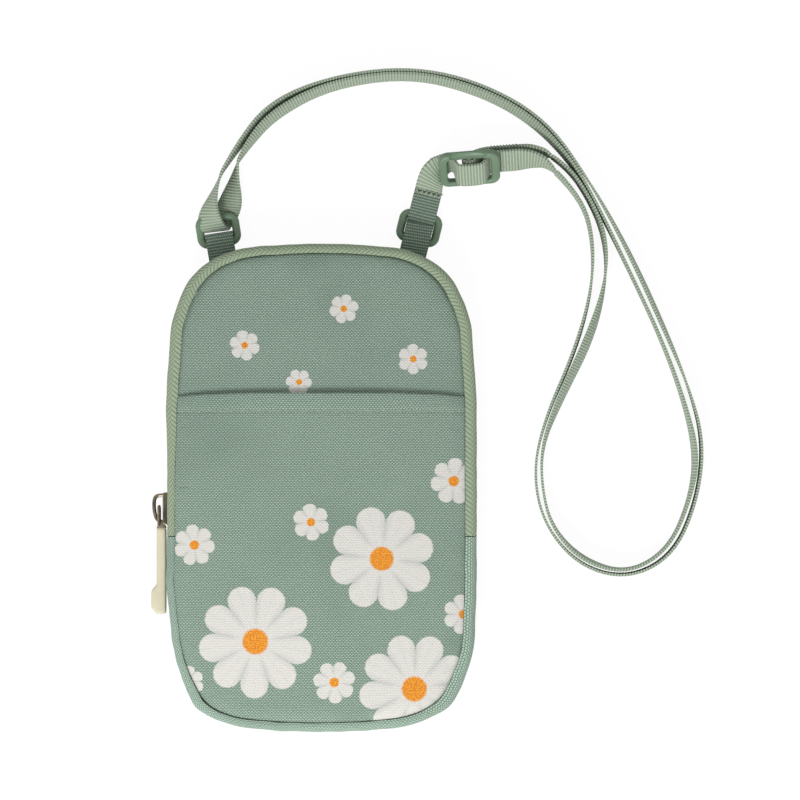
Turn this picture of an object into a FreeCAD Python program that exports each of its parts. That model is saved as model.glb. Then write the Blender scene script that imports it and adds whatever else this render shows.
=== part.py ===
import FreeCAD, Part
import Sketcher
import math
import os

Vec = FreeCAD.Vector
Turn = FreeCAD.Rotation
Place = FreeCAD.Placement

# Driving sizes in millimetres and degrees.
SIZES = {
    "body_width": 115,
    "body_height": 180,
    "corner_radius": 35,
    "edge_bow": 260,
    "band_depth": 21,
    "roll_radius": 3.2,
    "seam_inset": 4.5,
    "cloth": 0.8,
    "foam": 1.5,
    "lining": 0.5,
    "layer_gap": 0.2,
    "inner_inset": 3.4,
    "binding": 1.8,
    "binding_level": 1.2,
    "binding_drop": 2.4,
    "binding_rise": 4,
    "front_rise": 2.3,
    "crown_across": 600,
    "crown_along": 1800,
    "zip_end": 16,
    "flap_line": 0.4,
    "flap_gap": 0.4,
    "pocket_mouth": 35.4,
    "tape": 0.7,
    "tape_seat": 1.4,
    "coil_gap": 1.4,
    "coil_width": 1.8,
    "coil_height": 1.25,
    "coil_lift": 0.05,
    "slider_length": 12,
    "slider_width": 8.4,
    "slider_plate": 1.2,
    "slider_low": 13.8,
    "slider_clear": 0.3,
    "slider_lip": 0.3,
    "slider_round": 1.5,
    "slider_post": 0.8,
    "post_length": 4,
    "post_inset": 0.6,
    "bridge_margin": 1.4,
    "bridge_rise": 3.1,
    "bridge_width": 1.8,
    "bridge_bar": 1.2,
    "link_wire": 1.2,
    "link_width": 5.8,
    "link_axis": 7,
    "link_grip": 3,
    "pull_top": 14.8,
    "pull_length": 32,
    "pull_thick": 3.2,
    "pull_width": 7,
    "pull_swell": 11,
    "swell_out": 1.8,
    "swell_slope": 2.4,
    "pull_round": 0.7,
    "web_width": 10,
    "web": 1.1,
    "ring_length": 16.4,
    "ring_height": 12.4,
    "ring_bar": 3,
    "ring_level": 3.4,
    "ring_bend": 2.4,
    "left_offset": 36.8,
    "right_offset": 34,
    "tab_reach": 5,
    "left_lean": 9,
    "right_lean": 14,
    "loop_clearance": 0.25,
    "glide_length": 22.6,
    "glide_width": 15.4,
    "glide_thick": 3.2,
    "glide_window": 16.3,
    "glide_slot": 10.8,
    "glide_bar": 2.4,
    "glide_corner": 3.6,
    "glide_round": 0.9,
    "glide_tilt": 45,
    "glide_heading": 4.5,
    "glide_x": 54.9,
    "glide_y": 118.4,
    "glide_z": 8,
    "anchor_leg": 8,
    "left_leg": 3,
    "thread_left": 12,
    "thread_right": 18,
    "tail_end": 18,
    "tail_lap": 11,
    "thread_edge": 0.45,
    "thread_crest": 3.2,
    "thread_bend": 1.6,
    "thread_gap": 0.35,
    "lap_gap": 0.2,
    "joint_gap": 0.3,
    "strap_level": 0.3,
    "route_top": 90,
}

# Where the strap lies on the table, as corner points of each strand, with the pouch's top edge at route_top.
OUTER_ROUTE = [
    (87.7, 117.3), (95.5, 107.3), (100.3, 92.4), (100.7, 73.2), (94, 50.2), (82.9, 26.1), (78.2, 6.5),
    (80.5, -14), (94.5, -30), (113.6, -35), (132, -26.8), (141, -5.4), (143, 16.9), (138, 37.6),
    (128, 60.9), (115.4, 88.4), (100.2, 115.6), (83.8, 138), (58.8, 151.5), (32.1, 156.4), (3.2, 152),
    (-19.2, 142.4), (-31.8, 126.6), (-36.8, 117),
]
INNER_ROUTE = [
    (85.8, 122.9), (91.6, 118.2), (98.2, 107.6), (104.2, 94.3), (106.2, 78), (100.3, 56.5), (89.2, 32.4),
    (82.5, 15.4), (81.4, 0.2), (85.1, -15), (97, -26.3), (113.3, -30.6), (128.2, -22.6), (136.2, -4.6),
    (138.6, 12), (134.9, 32.4), (126.4, 54.6), (115.2, 81.3), (104.9, 104), (93.4, 120.6), (77.4, 134.8),
    (58, 145.3), (32.9, 152), (4.2, 147.1), (-16.5, 136.8), (-27.2, 126.2), (-30.8, 121),
]

doc = FreeCAD.newDocument("phone_pouch")
sheet = doc.addObject("Spreadsheet::Sheet", "Sizes")
for row, (name, value) in enumerate(SIZES.items(), 1):
    sheet.set(f"A{row}", name)
    sheet.set(f"B{row}", str(value))
    sheet.setAlias(f"B{row}", name)
doc.recompute()

nodes = []


def keep(shape_object, node):
    shape_object.Label = node
    nodes.append(shape_object)
    return shape_object


# Derived levels, written once and used both as numbers and as expressions.
half_width = SIZES["body_width"] / 2
half_height = SIZES["body_height"] / 2
mid_level = SIZES["band_depth"] / 2
route_lift = half_height - SIZES["route_top"]


def origin_plane(body, role):
    return next(plane for plane in body.Origin.OriginFeatures if plane.Role == role)


def bind(sketch, name, expression, *constraint):
    index = sketch.addConstraint(Sketcher.Constraint(*constraint))
    sketch.renameConstraint(index, name)
    sketch.setExpression("Constraints." + name, expression)


def rule(sketch, *constraint):
    sketch.addConstraint(Sketcher.Constraint(*constraint))


def round_arc(centre_x, centre_y, radius, start, end):
    circle = Part.Circle(Vec(centre_x, centre_y, 0), Vec(0, 0, 1), radius)
    return Part.ArcOfCircle(circle, start, end)


def half_outline(sketch, inset, upper, line=None):
    """One end of the pouch outline, from side to side; its feet lie on a line or stay loose."""
    side = 1 if upper else -1
    wide = half_width - inset[1]
    radius = SIZES["corner_radius"] - inset[1]
    bow = SIZES["edge_bow"] - inset[1]
    bow_y = side * (half_height - SIZES["edge_bow"])
    corner_x = wide - radius
    corner_y = bow_y + side * math.sqrt((bow - radius) ** 2 - corner_x ** 2)
    lean = math.atan2(abs(corner_y - bow_y), corner_x)
    flip = 0 if upper else math.pi
    foot_y = line[1] if line else 0.0
    first = sketch.GeometryCount
    pieces = [
        Part.LineSegment(Vec(-side * wide, foot_y, 0), Vec(-side * wide, corner_y, 0)),
        round_arc(-side * corner_x, corner_y, radius, math.pi - lean + flip, math.pi + flip),
        round_arc(0, bow_y, bow, lean + flip, math.pi - lean + flip),
        round_arc(side * corner_x, corner_y, radius, flip, lean + flip),
        Part.LineSegment(Vec(side * wide, corner_y, 0), Vec(side * wide, foot_y, 0)),
    ]
    for piece in pieces:
        sketch.addGeometry(piece, False)
    for one, one_end, two, two_end in ((0, 2, 1, 2), (1, 1, 2, 2), (2, 1, 3, 2), (3, 1, 4, 1)):
        rule(sketch, "Tangent", first + one, one_end, first + two, two_end)
    rule(sketch, "Vertical", first)
    rule(sketch, "Vertical", first + 4)
    rule(sketch, "PointOnObject", first + 2, 3, -2)
    end = "top" if upper else "foot"
    sign = "" if upper else "-"
    radius_words = f"Sizes.corner_radius - ({inset[0]})"
    bind(sketch, end + "_corner_a", radius_words, "Radius", first + 1, radius)
    bind(sketch, end + "_corner_b", radius_words, "Radius", first + 3, radius)
    bind(sketch, end + "_bow", f"Sizes.edge_bow - ({inset[0]})", "Radius", first + 2, bow)
    bow_words = f"{sign}(Sizes.body_height / 2 - Sizes.edge_bow)"
    bind(sketch, end + "_bow_y", bow_words, "DistanceY", -1, 1, first + 2, 3, bow_y)
    if line:
        wide_words = f"(Sizes.body_width / 2 - ({inset[0]}))"
        other = "-" if upper else ""
        bind(sketch, end + "_start_x", other + wide_words, "DistanceX", -1, 1, first, 1, -side * wide)
        bind(sketch, end + "_end_x", sign + wide_words, "DistanceX", -1, 1, first + 4, 2, side * wide)
        bind(sketch, end + "_start_y", line[0], "DistanceY", -1, 1, first, 1, foot_y)
        bind(sketch, end + "_end_y", line[0], "DistanceY", -1, 1, first + 4, 2, foot_y)
    return first


def close_half(sketch, first):
    lid = sketch.addGeometry(Part.LineSegment(sketch.getPoint(first + 4, 2), sketch.getPoint(first, 1)), False)
    rule(sketch, "Coincident", first + 4, 2, lid, 1)
    rule(sketch, "Coincident", lid, 2, first, 1)


def full_outline(sketch, inset):
    """The whole outline: two ends that meet on the cross axis."""
    top = half_outline(sketch, inset, True, ("0", 0.0))
    foot = half_outline(sketch, inset, False)
    rule(sketch, "Coincident", top + 4, 2, foot, 1)
    rule(sketch, "Coincident", foot + 4, 2, top, 1)


def new_sketch(owner, name, plane="XY_Plane"):
    sketch = owner.newObject("Sketcher::SketchObject", name)
    sketch.AttachmentSupport = [(origin_plane(owner, plane), "")]
    sketch.MapMode = "FlatFace"
    return sketch


# Insets from the outline and levels along it, each as words for the sheet and as a number.
SEAM = ("Sizes.seam_inset + Sizes.layer_gap", SIZES["seam_inset"] + SIZES["layer_gap"])
INNER = ("Sizes.seam_inset + Sizes.inner_inset", SIZES["seam_inset"] + SIZES["inner_inset"])
EDGE = ("0", 0.0)
ABOVE = ("Sizes.flap_line + Sizes.flap_gap / 2", SIZES["flap_line"] + SIZES["flap_gap"] / 2)
BELOW = ("Sizes.flap_line - Sizes.flap_gap / 2", SIZES["flap_line"] - SIZES["flap_gap"] / 2)
ZIP_LINE = ("-Sizes.zip_end + Sizes.flap_gap / 2", -SIZES["zip_end"] + SIZES["flap_gap"] / 2)
GUSSET_LINE = ("-Sizes.zip_end - Sizes.flap_gap / 2", -SIZES["zip_end"] - SIZES["flap_gap"] / 2)


def flat_layer(node, inset, level_words, thick_words):
    """A flat sheet of the back, cut to the pouch outline."""
    body = doc.addObject("PartDesign::Body", node)
    sketch = new_sketch(body, node + "_outline")
    full_outline(sketch, inset)
    sketch.setExpression("AttachmentOffset.Base.z", level_words)
    pad = body.newObject("PartDesign::Pad", node + "_pad")
    pad.Profile = sketch
    pad.setExpression("Length", thick_words)
    return keep(body, node)


back_levels = "Sizes.cloth + Sizes.layer_gap"
flat_layer("back_panel", SEAM, "0", "Sizes.cloth")
flat_layer("back_foam", INNER, back_levels, "Sizes.foam")
flat_layer("back_lining", INNER, back_levels + " + Sizes.foam + Sizes.layer_gap", "Sizes.lining")


def crowned_layer(node, upper, drop_words, thick_words, inset, mouth=False):
    """A padded front sheet: the outline prism between two shallow domes."""
    sketch = doc.addObject("Sketcher::SketchObject", node + "_outline")
    first = half_outline(sketch, inset, upper, ABOVE if upper else BELOW)
    close_half(sketch, first)
    prism = doc.addObject("Part::Extrusion", node + "_prism")
    prism.Base = sketch
    prism.DirMode = "Custom"
    prism.Dir = Vec(0, 0, 1)
    prism.Solid = True
    prism.setExpression("LengthFwd", "Sizes.band_depth + Sizes.front_rise + 10")
    domes = []
    for dome_name, extra in (("_outer", "0"), ("_inner", thick_words)):
        dome = doc.addObject("Part::Torus", node + dome_name)
        dome.Angle1 = -180
        dome.Angle2 = 180
        drop = f"({drop_words}) - ({extra})"
        dome.setExpression("Radius1", "Sizes.crown_along - Sizes.crown_across")
        dome.setExpression("Radius2", f"Sizes.crown_across + {drop}")
        dome.Placement = Place(Vec(0, 0, 0), Turn(Vec(0, 1, 0), 90))
        level = "Sizes.band_depth + Sizes.front_rise - Sizes.crown_along"
        dome.setExpression("Placement.Base.z", level)
        domes.append(dome)
    common = doc.addObject("Part::MultiCommon", node + "_dome")
    common.Shapes = [prism, domes[0]]
    cut = doc.addObject("Part::Cut", node + "_sheet" if mouth else node)
    cut.Base = common
    cut.Tool = domes[1]
    if not mouth:
        return keep(cut, node)
    blade = doc.addObject("Part::Box", node + "_mouth")
    blade.setExpression("Length", "Sizes.body_width * 2")
    blade.setExpression("Width", "Sizes.body_height")
    blade.setExpression("Height", "Sizes.band_depth * 3")
    blade.setExpression("Placement.Base.x", "-Sizes.body_width")
    blade.setExpression("Placement.Base.y", "Sizes.pocket_mouth")
    open_top = doc.addObject("Part::Cut", node)
    open_top.Base = cut
    open_top.Tool = blade
    return keep(open_top, node)


foam_drop = "-Sizes.cloth - Sizes.layer_gap"
lining_drop = foam_drop + " - Sizes.foam - Sizes.layer_gap"
for part_name, drop_words, thick_words, inset in (
        ("front_panel", "0", "Sizes.cloth", SEAM),
        ("front_foam", foam_drop, "Sizes.foam", INNER),
        ("front_lining", lining_drop, "Sizes.lining", INNER)):
    crowned_layer(part_name + "_upper", True, drop_words, thick_words, inset)
    crowned_layer(part_name + "_lower", False, drop_words, thick_words, inset)
pocket_lift = "Sizes.cloth + Sizes.layer_gap"
crowned_layer("pocket_panel_upper", True, pocket_lift, "Sizes.cloth", SEAM, mouth=True)
crowned_layer("pocket_panel_lower", False, pocket_lift, "Sizes.cloth", SEAM)


def chain(sketch, corners):
    """A closed run of straight lines through bound corner points."""
    first = sketch.GeometryCount
    count = len(corners)
    for index in range(count):
        start = corners[index]
        end = corners[(index + 1) % count]
        line = Part.LineSegment(Vec(start[1], start[3], 0), Vec(end[1], end[3], 0))
        sketch.addGeometry(line, False)
    for index in range(count):
        after = first + (index + 1) % count
        rule(sketch, "Coincident", first + index, 2, after, 1)
    for index, (x_words, x_value, y_words, y_value) in enumerate(corners):
        bind(sketch, f"x{first + index}", x_words, "DistanceX", -1, 1, first + index, 1, x_value)
        bind(sketch, f"y{first + index}", y_words, "DistanceY", -1, 1, first + index, 1, y_value)


def roll_tip(sketch, line, arc_end, hub, name, tip_x):
    """Ends a rolled edge at the seam, square to the roll."""
    rule(sketch, "PointOnObject", hub, 3, line)
    words = "-Sizes.body_width / 2 + Sizes.seam_inset"
    bind(sketch, name, words, "DistanceX", -1, 1, hub, arc_end, tip_x)


def roll_hub(sketch, arc, twin, name, level_words, level):
    """Centres a rolled edge's two arcs on one point."""
    rule(sketch, "Coincident", arc, 3, twin, 3)
    words = "-Sizes.body_width / 2 + Sizes.roll_radius"
    bind(sketch, name + "_x", words, "DistanceX", -1, 1, arc, 3, -half_width + SIZES["roll_radius"])
    bind(sketch, name + "_y", level_words, "DistanceY", -1, 1, arc, 3, level)


def tape_section(sketch, front):
    """Half of the zip tape: a flat seat for the coil, then a roll that ends at the seam."""
    roll = SIZES["roll_radius"]
    thick = SIZES["tape"]
    seat = SIZES["tape_seat"]
    sign = 1 if front else -1
    hub_x = -half_width + roll
    hub_y = SIZES["band_depth"] - roll if front else roll
    foot_y = mid_level + sign * SIZES["coil_gap"] / 2
    lean = math.acos((SIZES["seam_inset"] - roll) / roll)
    out_fall = math.acos((roll - seat) / roll)
    in_fall = math.acos((roll - seat - thick) / (roll - thick))
    spans = []
    for radius, fall in ((roll, out_fall), (roll - thick, in_fall)):
        if front:
            spans.append((radius, lean, math.pi + fall))
        else:
            spans.append((radius, math.pi - fall, 2 * math.pi - lean))

    def on_roll(radius, angle):
        return Vec(hub_x + radius * math.cos(angle), hub_y + radius * math.sin(angle), 0)

    foot_end = 2 if front else 1
    tip_end = 1 if front else 2
    out_span, in_span = spans
    out_foot = Vec(-half_width + seat, foot_y, 0)
    in_foot = Vec(-half_width + seat + thick, foot_y, 0)
    out_low = on_roll(roll, out_span[foot_end])
    in_low = on_roll(roll - thick, in_span[foot_end])
    out_tip = on_roll(roll, out_span[tip_end])
    in_tip = on_roll(roll - thick, in_span[tip_end])
    for piece in (
            Part.LineSegment(out_foot, out_low),
            round_arc(hub_x, hub_y, *out_span),
            Part.LineSegment(out_tip, in_tip),
            round_arc(hub_x, hub_y, *in_span),
            Part.LineSegment(in_low, in_foot),
            Part.LineSegment(in_foot, out_foot)):
        sketch.addGeometry(piece, False)
    rule(sketch, "Coincident", 0, 2, 1, foot_end)
    rule(sketch, "Coincident", 1, tip_end, 2, 1)
    rule(sketch, "Coincident", 2, 2, 3, tip_end)
    rule(sketch, "Coincident", 3, foot_end, 4, 1)
    rule(sketch, "Coincident", 4, 2, 5, 1)
    rule(sketch, "Coincident", 5, 2, 0, 1)
    rule(sketch, "Vertical", 0)
    rule(sketch, "Vertical", 4)
    rule(sketch, "Horizontal", 5)
    level = "Sizes.band_depth - Sizes.roll_radius" if front else "Sizes.roll_radius"
    roll_hub(sketch, 1, 3, "hub", level, hub_y)
    bind(sketch, "roll_out", "Sizes.roll_radius", "Radius", 1, roll)
    bind(sketch, "roll_in", "Sizes.roll_radius - Sizes.tape", "Radius", 3, roll - thick)
    roll_tip(sketch, 2, tip_end, 1, "tip_x", -half_width + SIZES["seam_inset"])
    seat_words = "-Sizes.body_width / 2 + Sizes.tape_seat"
    bind(sketch, "seat_x", seat_words, "DistanceX", -1, 1, 0, 1, out_foot.x)
    foot_words = f"Sizes.band_depth / 2 + {sign} * Sizes.coil_gap / 2"
    bind(sketch, "foot_y", foot_words, "DistanceY", -1, 1, 0, 1, foot_y)
    bind(sketch, "thick", "Sizes.tape", "DistanceX", 0, 1, 4, 2, thick)


def gusset_section(sketch, skin, thick):
    """The closed lower band: a straight wall rolled over at both seams."""
    roll = SIZES["roll_radius"]
    outer = roll - skin[1]
    inner = outer - thick[1]
    hub_x = -half_width + roll
    hubs = (roll, SIZES["band_depth"] - roll)
    lean = math.acos((SIZES["seam_inset"] - roll) / roll)
    tip = 2 * math.pi - lean

    def on_roll(hub_y, radius, angle):
        return Vec(hub_x + radius * math.cos(angle), hub_y + radius * math.sin(angle), 0)

    for piece in (
            round_arc(hub_x, hubs[0], outer, math.pi, tip),
            Part.LineSegment(on_roll(hubs[0], outer, math.pi), on_roll(hubs[1], outer, math.pi)),
            round_arc(hub_x, hubs[1], outer, lean, math.pi),
            Part.LineSegment(on_roll(hubs[1], outer, lean), on_roll(hubs[1], inner, lean)),
            round_arc(hub_x, hubs[1], inner, lean, math.pi),
            Part.LineSegment(on_roll(hubs[1], inner, math.pi), on_roll(hubs[0], inner, math.pi)),
            round_arc(hub_x, hubs[0], inner, math.pi, tip),
            Part.LineSegment(on_roll(hubs[0], inner, tip), on_roll(hubs[0], outer, tip))):
        sketch.addGeometry(piece, False)
    for one, one_end, two, two_end in ((0, 1, 1, 1), (1, 2, 2, 2), (4, 2, 5, 1), (5, 2, 6, 1)):
        rule(sketch, "Tangent", one, one_end, two, two_end)
    for one, one_end, two, two_end in ((2, 1, 3, 1), (3, 2, 4, 1), (6, 2, 7, 1), (7, 2, 0, 2)):
        rule(sketch, "Coincident", one, one_end, two, two_end)
    rule(sketch, "Coincident", 0, 3, 6, 3)
    rule(sketch, "Coincident", 2, 3, 4, 3)
    rule(sketch, "Vertical", 1)
    words = "-Sizes.body_width / 2 + Sizes.roll_radius"
    bind(sketch, "hub_x", words, "DistanceX", -1, 1, 0, 3, hub_x)
    bind(sketch, "hub_low", "Sizes.roll_radius", "DistanceY", -1, 1, 0, 3, hubs[0])
    bind(sketch, "hub_high", "Sizes.band_depth - Sizes.roll_radius", "DistanceY", -1, 1, 2, 3, hubs[1])
    outer_words = f"Sizes.roll_radius - ({skin[0]})"
    for index, name in ((0, "low_out"), (2, "high_out")):
        bind(sketch, name, outer_words, "Radius", index, outer)
    for index, name in ((4, "high_in"), (6, "low_in")):
        bind(sketch, name, f"{outer_words} - {thick[0]}", "Radius", index, inner)
    tip_words = f"-Sizes.body_width / 2 + Sizes.seam_inset - ({skin[0]}) * {(SIZES['seam_inset'] - roll) / roll}"
    tip_x = on_roll(0, outer, lean).x
    for arc_index, arc_end, line, name in ((2, 1, 3, "tip_high"), (0, 2, 7, "tip_low")):
        rule(sketch, "PointOnObject", arc_index, 3, line)
        bind(sketch, name, tip_words, "DistanceX", -1, 1, arc_index, arc_end, tip_x)


def rect_section(sketch, out_words, out, width_words, width, low_words, low, rise_words, rise):
    """A plain strip: how far in from the outline it starts, its width, its foot and its height."""
    left_words = f"-Sizes.body_width / 2 + {out_words}"
    right_words = f"{left_words} + {width_words}"
    top_words = f"{low_words} + {rise_words}"
    left = -half_width + out
    chain(sketch, [
        (left_words, left, low_words, low),
        (right_words, left + width, low_words, low),
        (right_words, left + width, top_words, low + rise),
        (left_words, left, top_words, low + rise),
    ])


def swept_band(node, section, upper=True, line=None, ring=False):
    """A strip that follows the pouch outline: over the top, round the foot, or all the way round."""
    body = doc.addObject("PartDesign::Body", node)
    spine = new_sketch(body, node + "_path")
    if ring:
        full_outline(spine, EDGE)
        edges = 10
        start = ("0", 0.0)
    else:
        half_outline(spine, EDGE, upper, line)
        edges = 5
        start = line
    profile = new_sketch(body, node + "_section", "XZ_Plane")
    profile.setExpression("AttachmentOffset.Base.z", f"-({start[0]})")
    section(profile)
    pipe = body.newObject("PartDesign::AdditivePipe", node + "_sweep")
    pipe.Profile = profile
    pipe.Spine = (spine, [f"Edge{number}" for number in range(1, edges + 1)])
    return keep(body, node)


def band_ends(node, section):
    """The two straight lengths of a strip between the zip's end and the flap line."""
    body = doc.addObject("PartDesign::Body", node + "_left")
    profile = new_sketch(body, node + "_section", "XZ_Plane")
    profile.setExpression("AttachmentOffset.Base.z", f"-({BELOW[0]})")
    section(profile)
    pad = body.newObject("PartDesign::Pad", node + "_pad")
    pad.Profile = profile
    pad.setExpression("Length", f"({BELOW[0]}) - ({ZIP_LINE[0]})")
    mirror = doc.addObject("Part::Mirroring", node + "_right")
    mirror.Source = body
    mirror.Normal = Vec(1, 0, 0)
    pair = doc.addObject("Part::Compound", node)
    pair.Links = [body, mirror]
    return keep(pair, node)


def front_tape(sketch):
    tape_section(sketch, True)


def back_tape(sketch):
    tape_section(sketch, False)


def coil_section(sketch, front):
    low_words = "Sizes.band_depth / 2 + Sizes.coil_gap / 2"
    low = mid_level + SIZES["coil_gap"] / 2
    if not front:
        low_words = "Sizes.band_depth / 2 - Sizes.coil_gap / 2 - Sizes.coil_width"
        low = mid_level - SIZES["coil_gap"] / 2 - SIZES["coil_width"]
    out_words = "Sizes.tape_seat - Sizes.coil_height - Sizes.coil_lift"
    out = SIZES["tape_seat"] - SIZES["coil_height"] - SIZES["coil_lift"]
    rect_section(sketch, out_words, out, "Sizes.coil_height", SIZES["coil_height"],
                 low_words, low, "Sizes.coil_width", SIZES["coil_width"])


def front_coil(sketch):
    coil_section(sketch, True)


def back_coil(sketch):
    coil_section(sketch, False)


def binding_section(sketch, front):
    low_words = "Sizes.band_depth - Sizes.binding_drop - Sizes.binding_rise" if front else "Sizes.binding_level"
    low = SIZES["binding_level"]
    if front:
        low = SIZES["band_depth"] - SIZES["binding_drop"] - SIZES["binding_rise"]
    out_words = "Sizes.seam_inset + Sizes.layer_gap * 3"
    out = SIZES["seam_inset"] + SIZES["layer_gap"] * 3
    rect_section(sketch, out_words, out, "Sizes.binding", SIZES["binding"],
                 low_words, low, "Sizes.binding_rise", SIZES["binding_rise"])


def front_binding(sketch):
    binding_section(sketch, True)


def back_binding(sketch):
    binding_section(sketch, False)


def outer_gusset(sketch):
    gusset_section(sketch, ("0", 0.0), ("Sizes.cloth", SIZES["cloth"]))


def inner_gusset(sketch):
    skin = SIZES["cloth"] + SIZES["layer_gap"]
    gusset_section(sketch, ("Sizes.cloth + Sizes.layer_gap", skin), ("Sizes.lining", SIZES["lining"]))


swept_band("gusset_strip", outer_gusset, False, GUSSET_LINE)
swept_band("gusset_lining", inner_gusset, False, GUSSET_LINE)
swept_band("zip_tape_back", back_tape, True, ZIP_LINE)
swept_band("zip_coil_back", back_coil, True, ZIP_LINE)
swept_band("zip_tape_front", front_tape, True, ABOVE)
swept_band("zip_coil_front", front_coil, True, ABOVE)
band_ends("zip_tape_front_ends", front_tape)
band_ends("zip_coil_front_ends", front_coil)
swept_band("back_binding", back_binding, ring=True)
swept_band("front_binding_upper", front_binding, True, ABOVE)
swept_band("front_binding_lower", front_binding, False, BELOW)


def box(name, corner, size):
    """A block whose near corner and size are words for the sheet."""
    block = doc.addObject("Part::Box", name)
    for axis, words in zip("xyz", corner):
        block.setExpression("Placement.Base." + axis, words)
    for side, words in zip(("Length", "Width", "Height"), size):
        block.setExpression(side, words)
    return block


def joined(node, pieces):
    whole = doc.addObject("Part::MultiFuse", node)
    whole.Shapes = pieces
    return whole


# Slider: outer plate with two lips, inner plate, post between the coils, and the bridge for the pull.
edge = "-Sizes.body_width / 2"
face = f"({edge} - Sizes.slider_clear)"
middle = "Sizes.band_depth / 2"
low_z = f"{middle} - Sizes.slider_width / 2"
slider_y = "-Sizes.slider_low"
lip_y = f"{slider_y} + Sizes.slider_round"
lip_run = "Sizes.slider_length - Sizes.slider_round * 2"
post_y = f"{slider_y} + Sizes.slider_length - Sizes.post_length - Sizes.post_inset"
slider_pieces = [
    box("slider_outer", (f"{face} - Sizes.slider_plate", slider_y, low_z),
        ("Sizes.slider_plate", "Sizes.slider_length", "Sizes.slider_width")),
    box("slider_inner", (f"{edge} + Sizes.tape_seat + Sizes.tape + Sizes.slider_clear", slider_y, low_z),
        ("Sizes.slider_plate", "Sizes.slider_length", "Sizes.slider_width")),
    box("slider_lip_low", (face, lip_y, low_z),
        ("Sizes.slider_lip", lip_run, "Sizes.slider_plate")),
    box("slider_lip_high", (face, lip_y, f"{middle} + Sizes.slider_width / 2 - Sizes.slider_plate"),
        ("Sizes.slider_lip", lip_run, "Sizes.slider_plate")),
    box("slider_post", (face, post_y, f"{middle} - Sizes.slider_post / 2"),
        ("Sizes.tape_seat + Sizes.tape + Sizes.slider_clear * 2", "Sizes.post_length", "Sizes.slider_post")),
]
bridge_x = f"{face} - Sizes.slider_plate - Sizes.bridge_rise"
bridge_z = f"{middle} - Sizes.bridge_width / 2"
bridge_low = f"{slider_y} + Sizes.bridge_margin"
bridge_span = "Sizes.slider_length - Sizes.bridge_margin * 2"
bridge_high = f"{slider_y} + Sizes.slider_length - Sizes.bridge_margin - Sizes.bridge_bar"
slider_pieces.append(
    box("bridge_bar", (bridge_x, bridge_low, bridge_z), ("Sizes.bridge_bar", bridge_span, "Sizes.bridge_width")))
for leg_name, leg_y in (("bridge_leg_low", bridge_low), ("bridge_leg_high", bridge_high)):
    slider_pieces.append(
        box(leg_name, (bridge_x, leg_y, bridge_z), ("Sizes.bridge_rise", "Sizes.bridge_bar", "Sizes.bridge_width")))
doc.recompute()
plate = slider_pieces[0]
soft_plate = doc.addObject("Part::Fillet", "slider_outer_soft")
soft_plate.Base = plate
corner_edges = []
for number, one_edge in enumerate(plate.Shape.Edges, 1):
    if one_edge.BoundBox.XLength > SIZES["slider_plate"] / 2:
        corner_edges.append((number, SIZES["slider_round"], SIZES["slider_round"]))
soft_plate.Edges = corner_edges
slider_pieces[0] = soft_plate
slider = joined("slider_body", slider_pieces)
keep(slider, "slider_body")

# Pull: a bent wire through the bridge and a moulded tab cast round its two ends.
link = doc.addObject("PartDesign::Body", "pull_link")
link_path = new_sketch(link, "link_path", "YZ_Plane")
link_x = f"{face} - Sizes.slider_plate - (Sizes.bridge_rise - Sizes.bridge_bar) / 2"
link_path.setExpression("AttachmentOffset.Base.z", link_x)
reach = SIZES["link_width"] / 2 - SIZES["link_wire"] / 2
link_foot = -SIZES["pull_top"] - SIZES["link_grip"]
link_top = -SIZES["link_axis"]
bend = SIZES["link_wire"]
low_leg = mid_level - reach
high_leg = mid_level + reach
for piece in (
        Part.LineSegment(Vec(link_foot, low_leg, 0), Vec(link_top - bend, low_leg, 0)),
        round_arc(link_top - bend, low_leg + bend, bend, -math.pi / 2, 0),
        Part.LineSegment(Vec(link_top, low_leg + bend, 0), Vec(link_top, high_leg - bend, 0)),
        round_arc(link_top - bend, high_leg - bend, bend, 0, math.pi / 2),
        Part.LineSegment(Vec(link_top - bend, high_leg, 0), Vec(link_foot, high_leg, 0))):
    link_path.addGeometry(piece, False)
for one, one_end, two, two_end in ((0, 2, 1, 1), (1, 2, 2, 1), (2, 2, 3, 1), (3, 2, 4, 1)):
    rule(link_path, "Tangent", one, one_end, two, two_end)
rule(link_path, "Horizontal", 0)
rule(link_path, "Horizontal", 4)
leg_words = "(Sizes.link_width - Sizes.link_wire) / 2"
bind(link_path, "bend_low", "Sizes.link_wire", "Radius", 1, bend)
bind(link_path, "bend_high", "Sizes.link_wire", "Radius", 3, bend)
bind(link_path, "foot_low", "-Sizes.pull_top - Sizes.link_grip", "DistanceX", -1, 1, 0, 1, link_foot)
bind(link_path, "foot_high", "-Sizes.pull_top - Sizes.link_grip", "DistanceX", -1, 1, 4, 2, link_foot)
bind(link_path, "leg_low", f"{middle} - {leg_words}", "DistanceY", -1, 1, 0, 1, low_leg)
bind(link_path, "leg_high", f"{middle} + {leg_words}", "DistanceY", -1, 1, 4, 2, high_leg)
bind(link_path, "cross_bar", "-Sizes.link_axis", "DistanceX", -1, 1, 2, 1, link_top)
link_section = new_sketch(link, "link_section", "XZ_Plane")
link_section.setExpression("AttachmentOffset.Base.z", "Sizes.pull_top + Sizes.link_grip")
bar_x = -half_width - SIZES["slider_clear"] - SIZES["slider_plate"]
bar_x -= (SIZES["bridge_rise"] - SIZES["bridge_bar"]) / 2
link_section.addGeometry(Part.Circle(Vec(bar_x, low_leg, 0), Vec(0, 0, 1), SIZES["link_wire"] / 2), False)
bind(link_section, "wire", "Sizes.link_wire / 2", "Radius", 0, SIZES["link_wire"] / 2)
bind(link_section, "wire_x", link_x, "DistanceX", -1, 1, 0, 3, bar_x)
bind(link_section, "wire_y", f"{middle} - {leg_words}", "DistanceY", -1, 1, 0, 3, low_leg)
link_sweep = link.newObject("PartDesign::AdditivePipe", "link_sweep")
link_sweep.Profile = link_section
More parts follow.
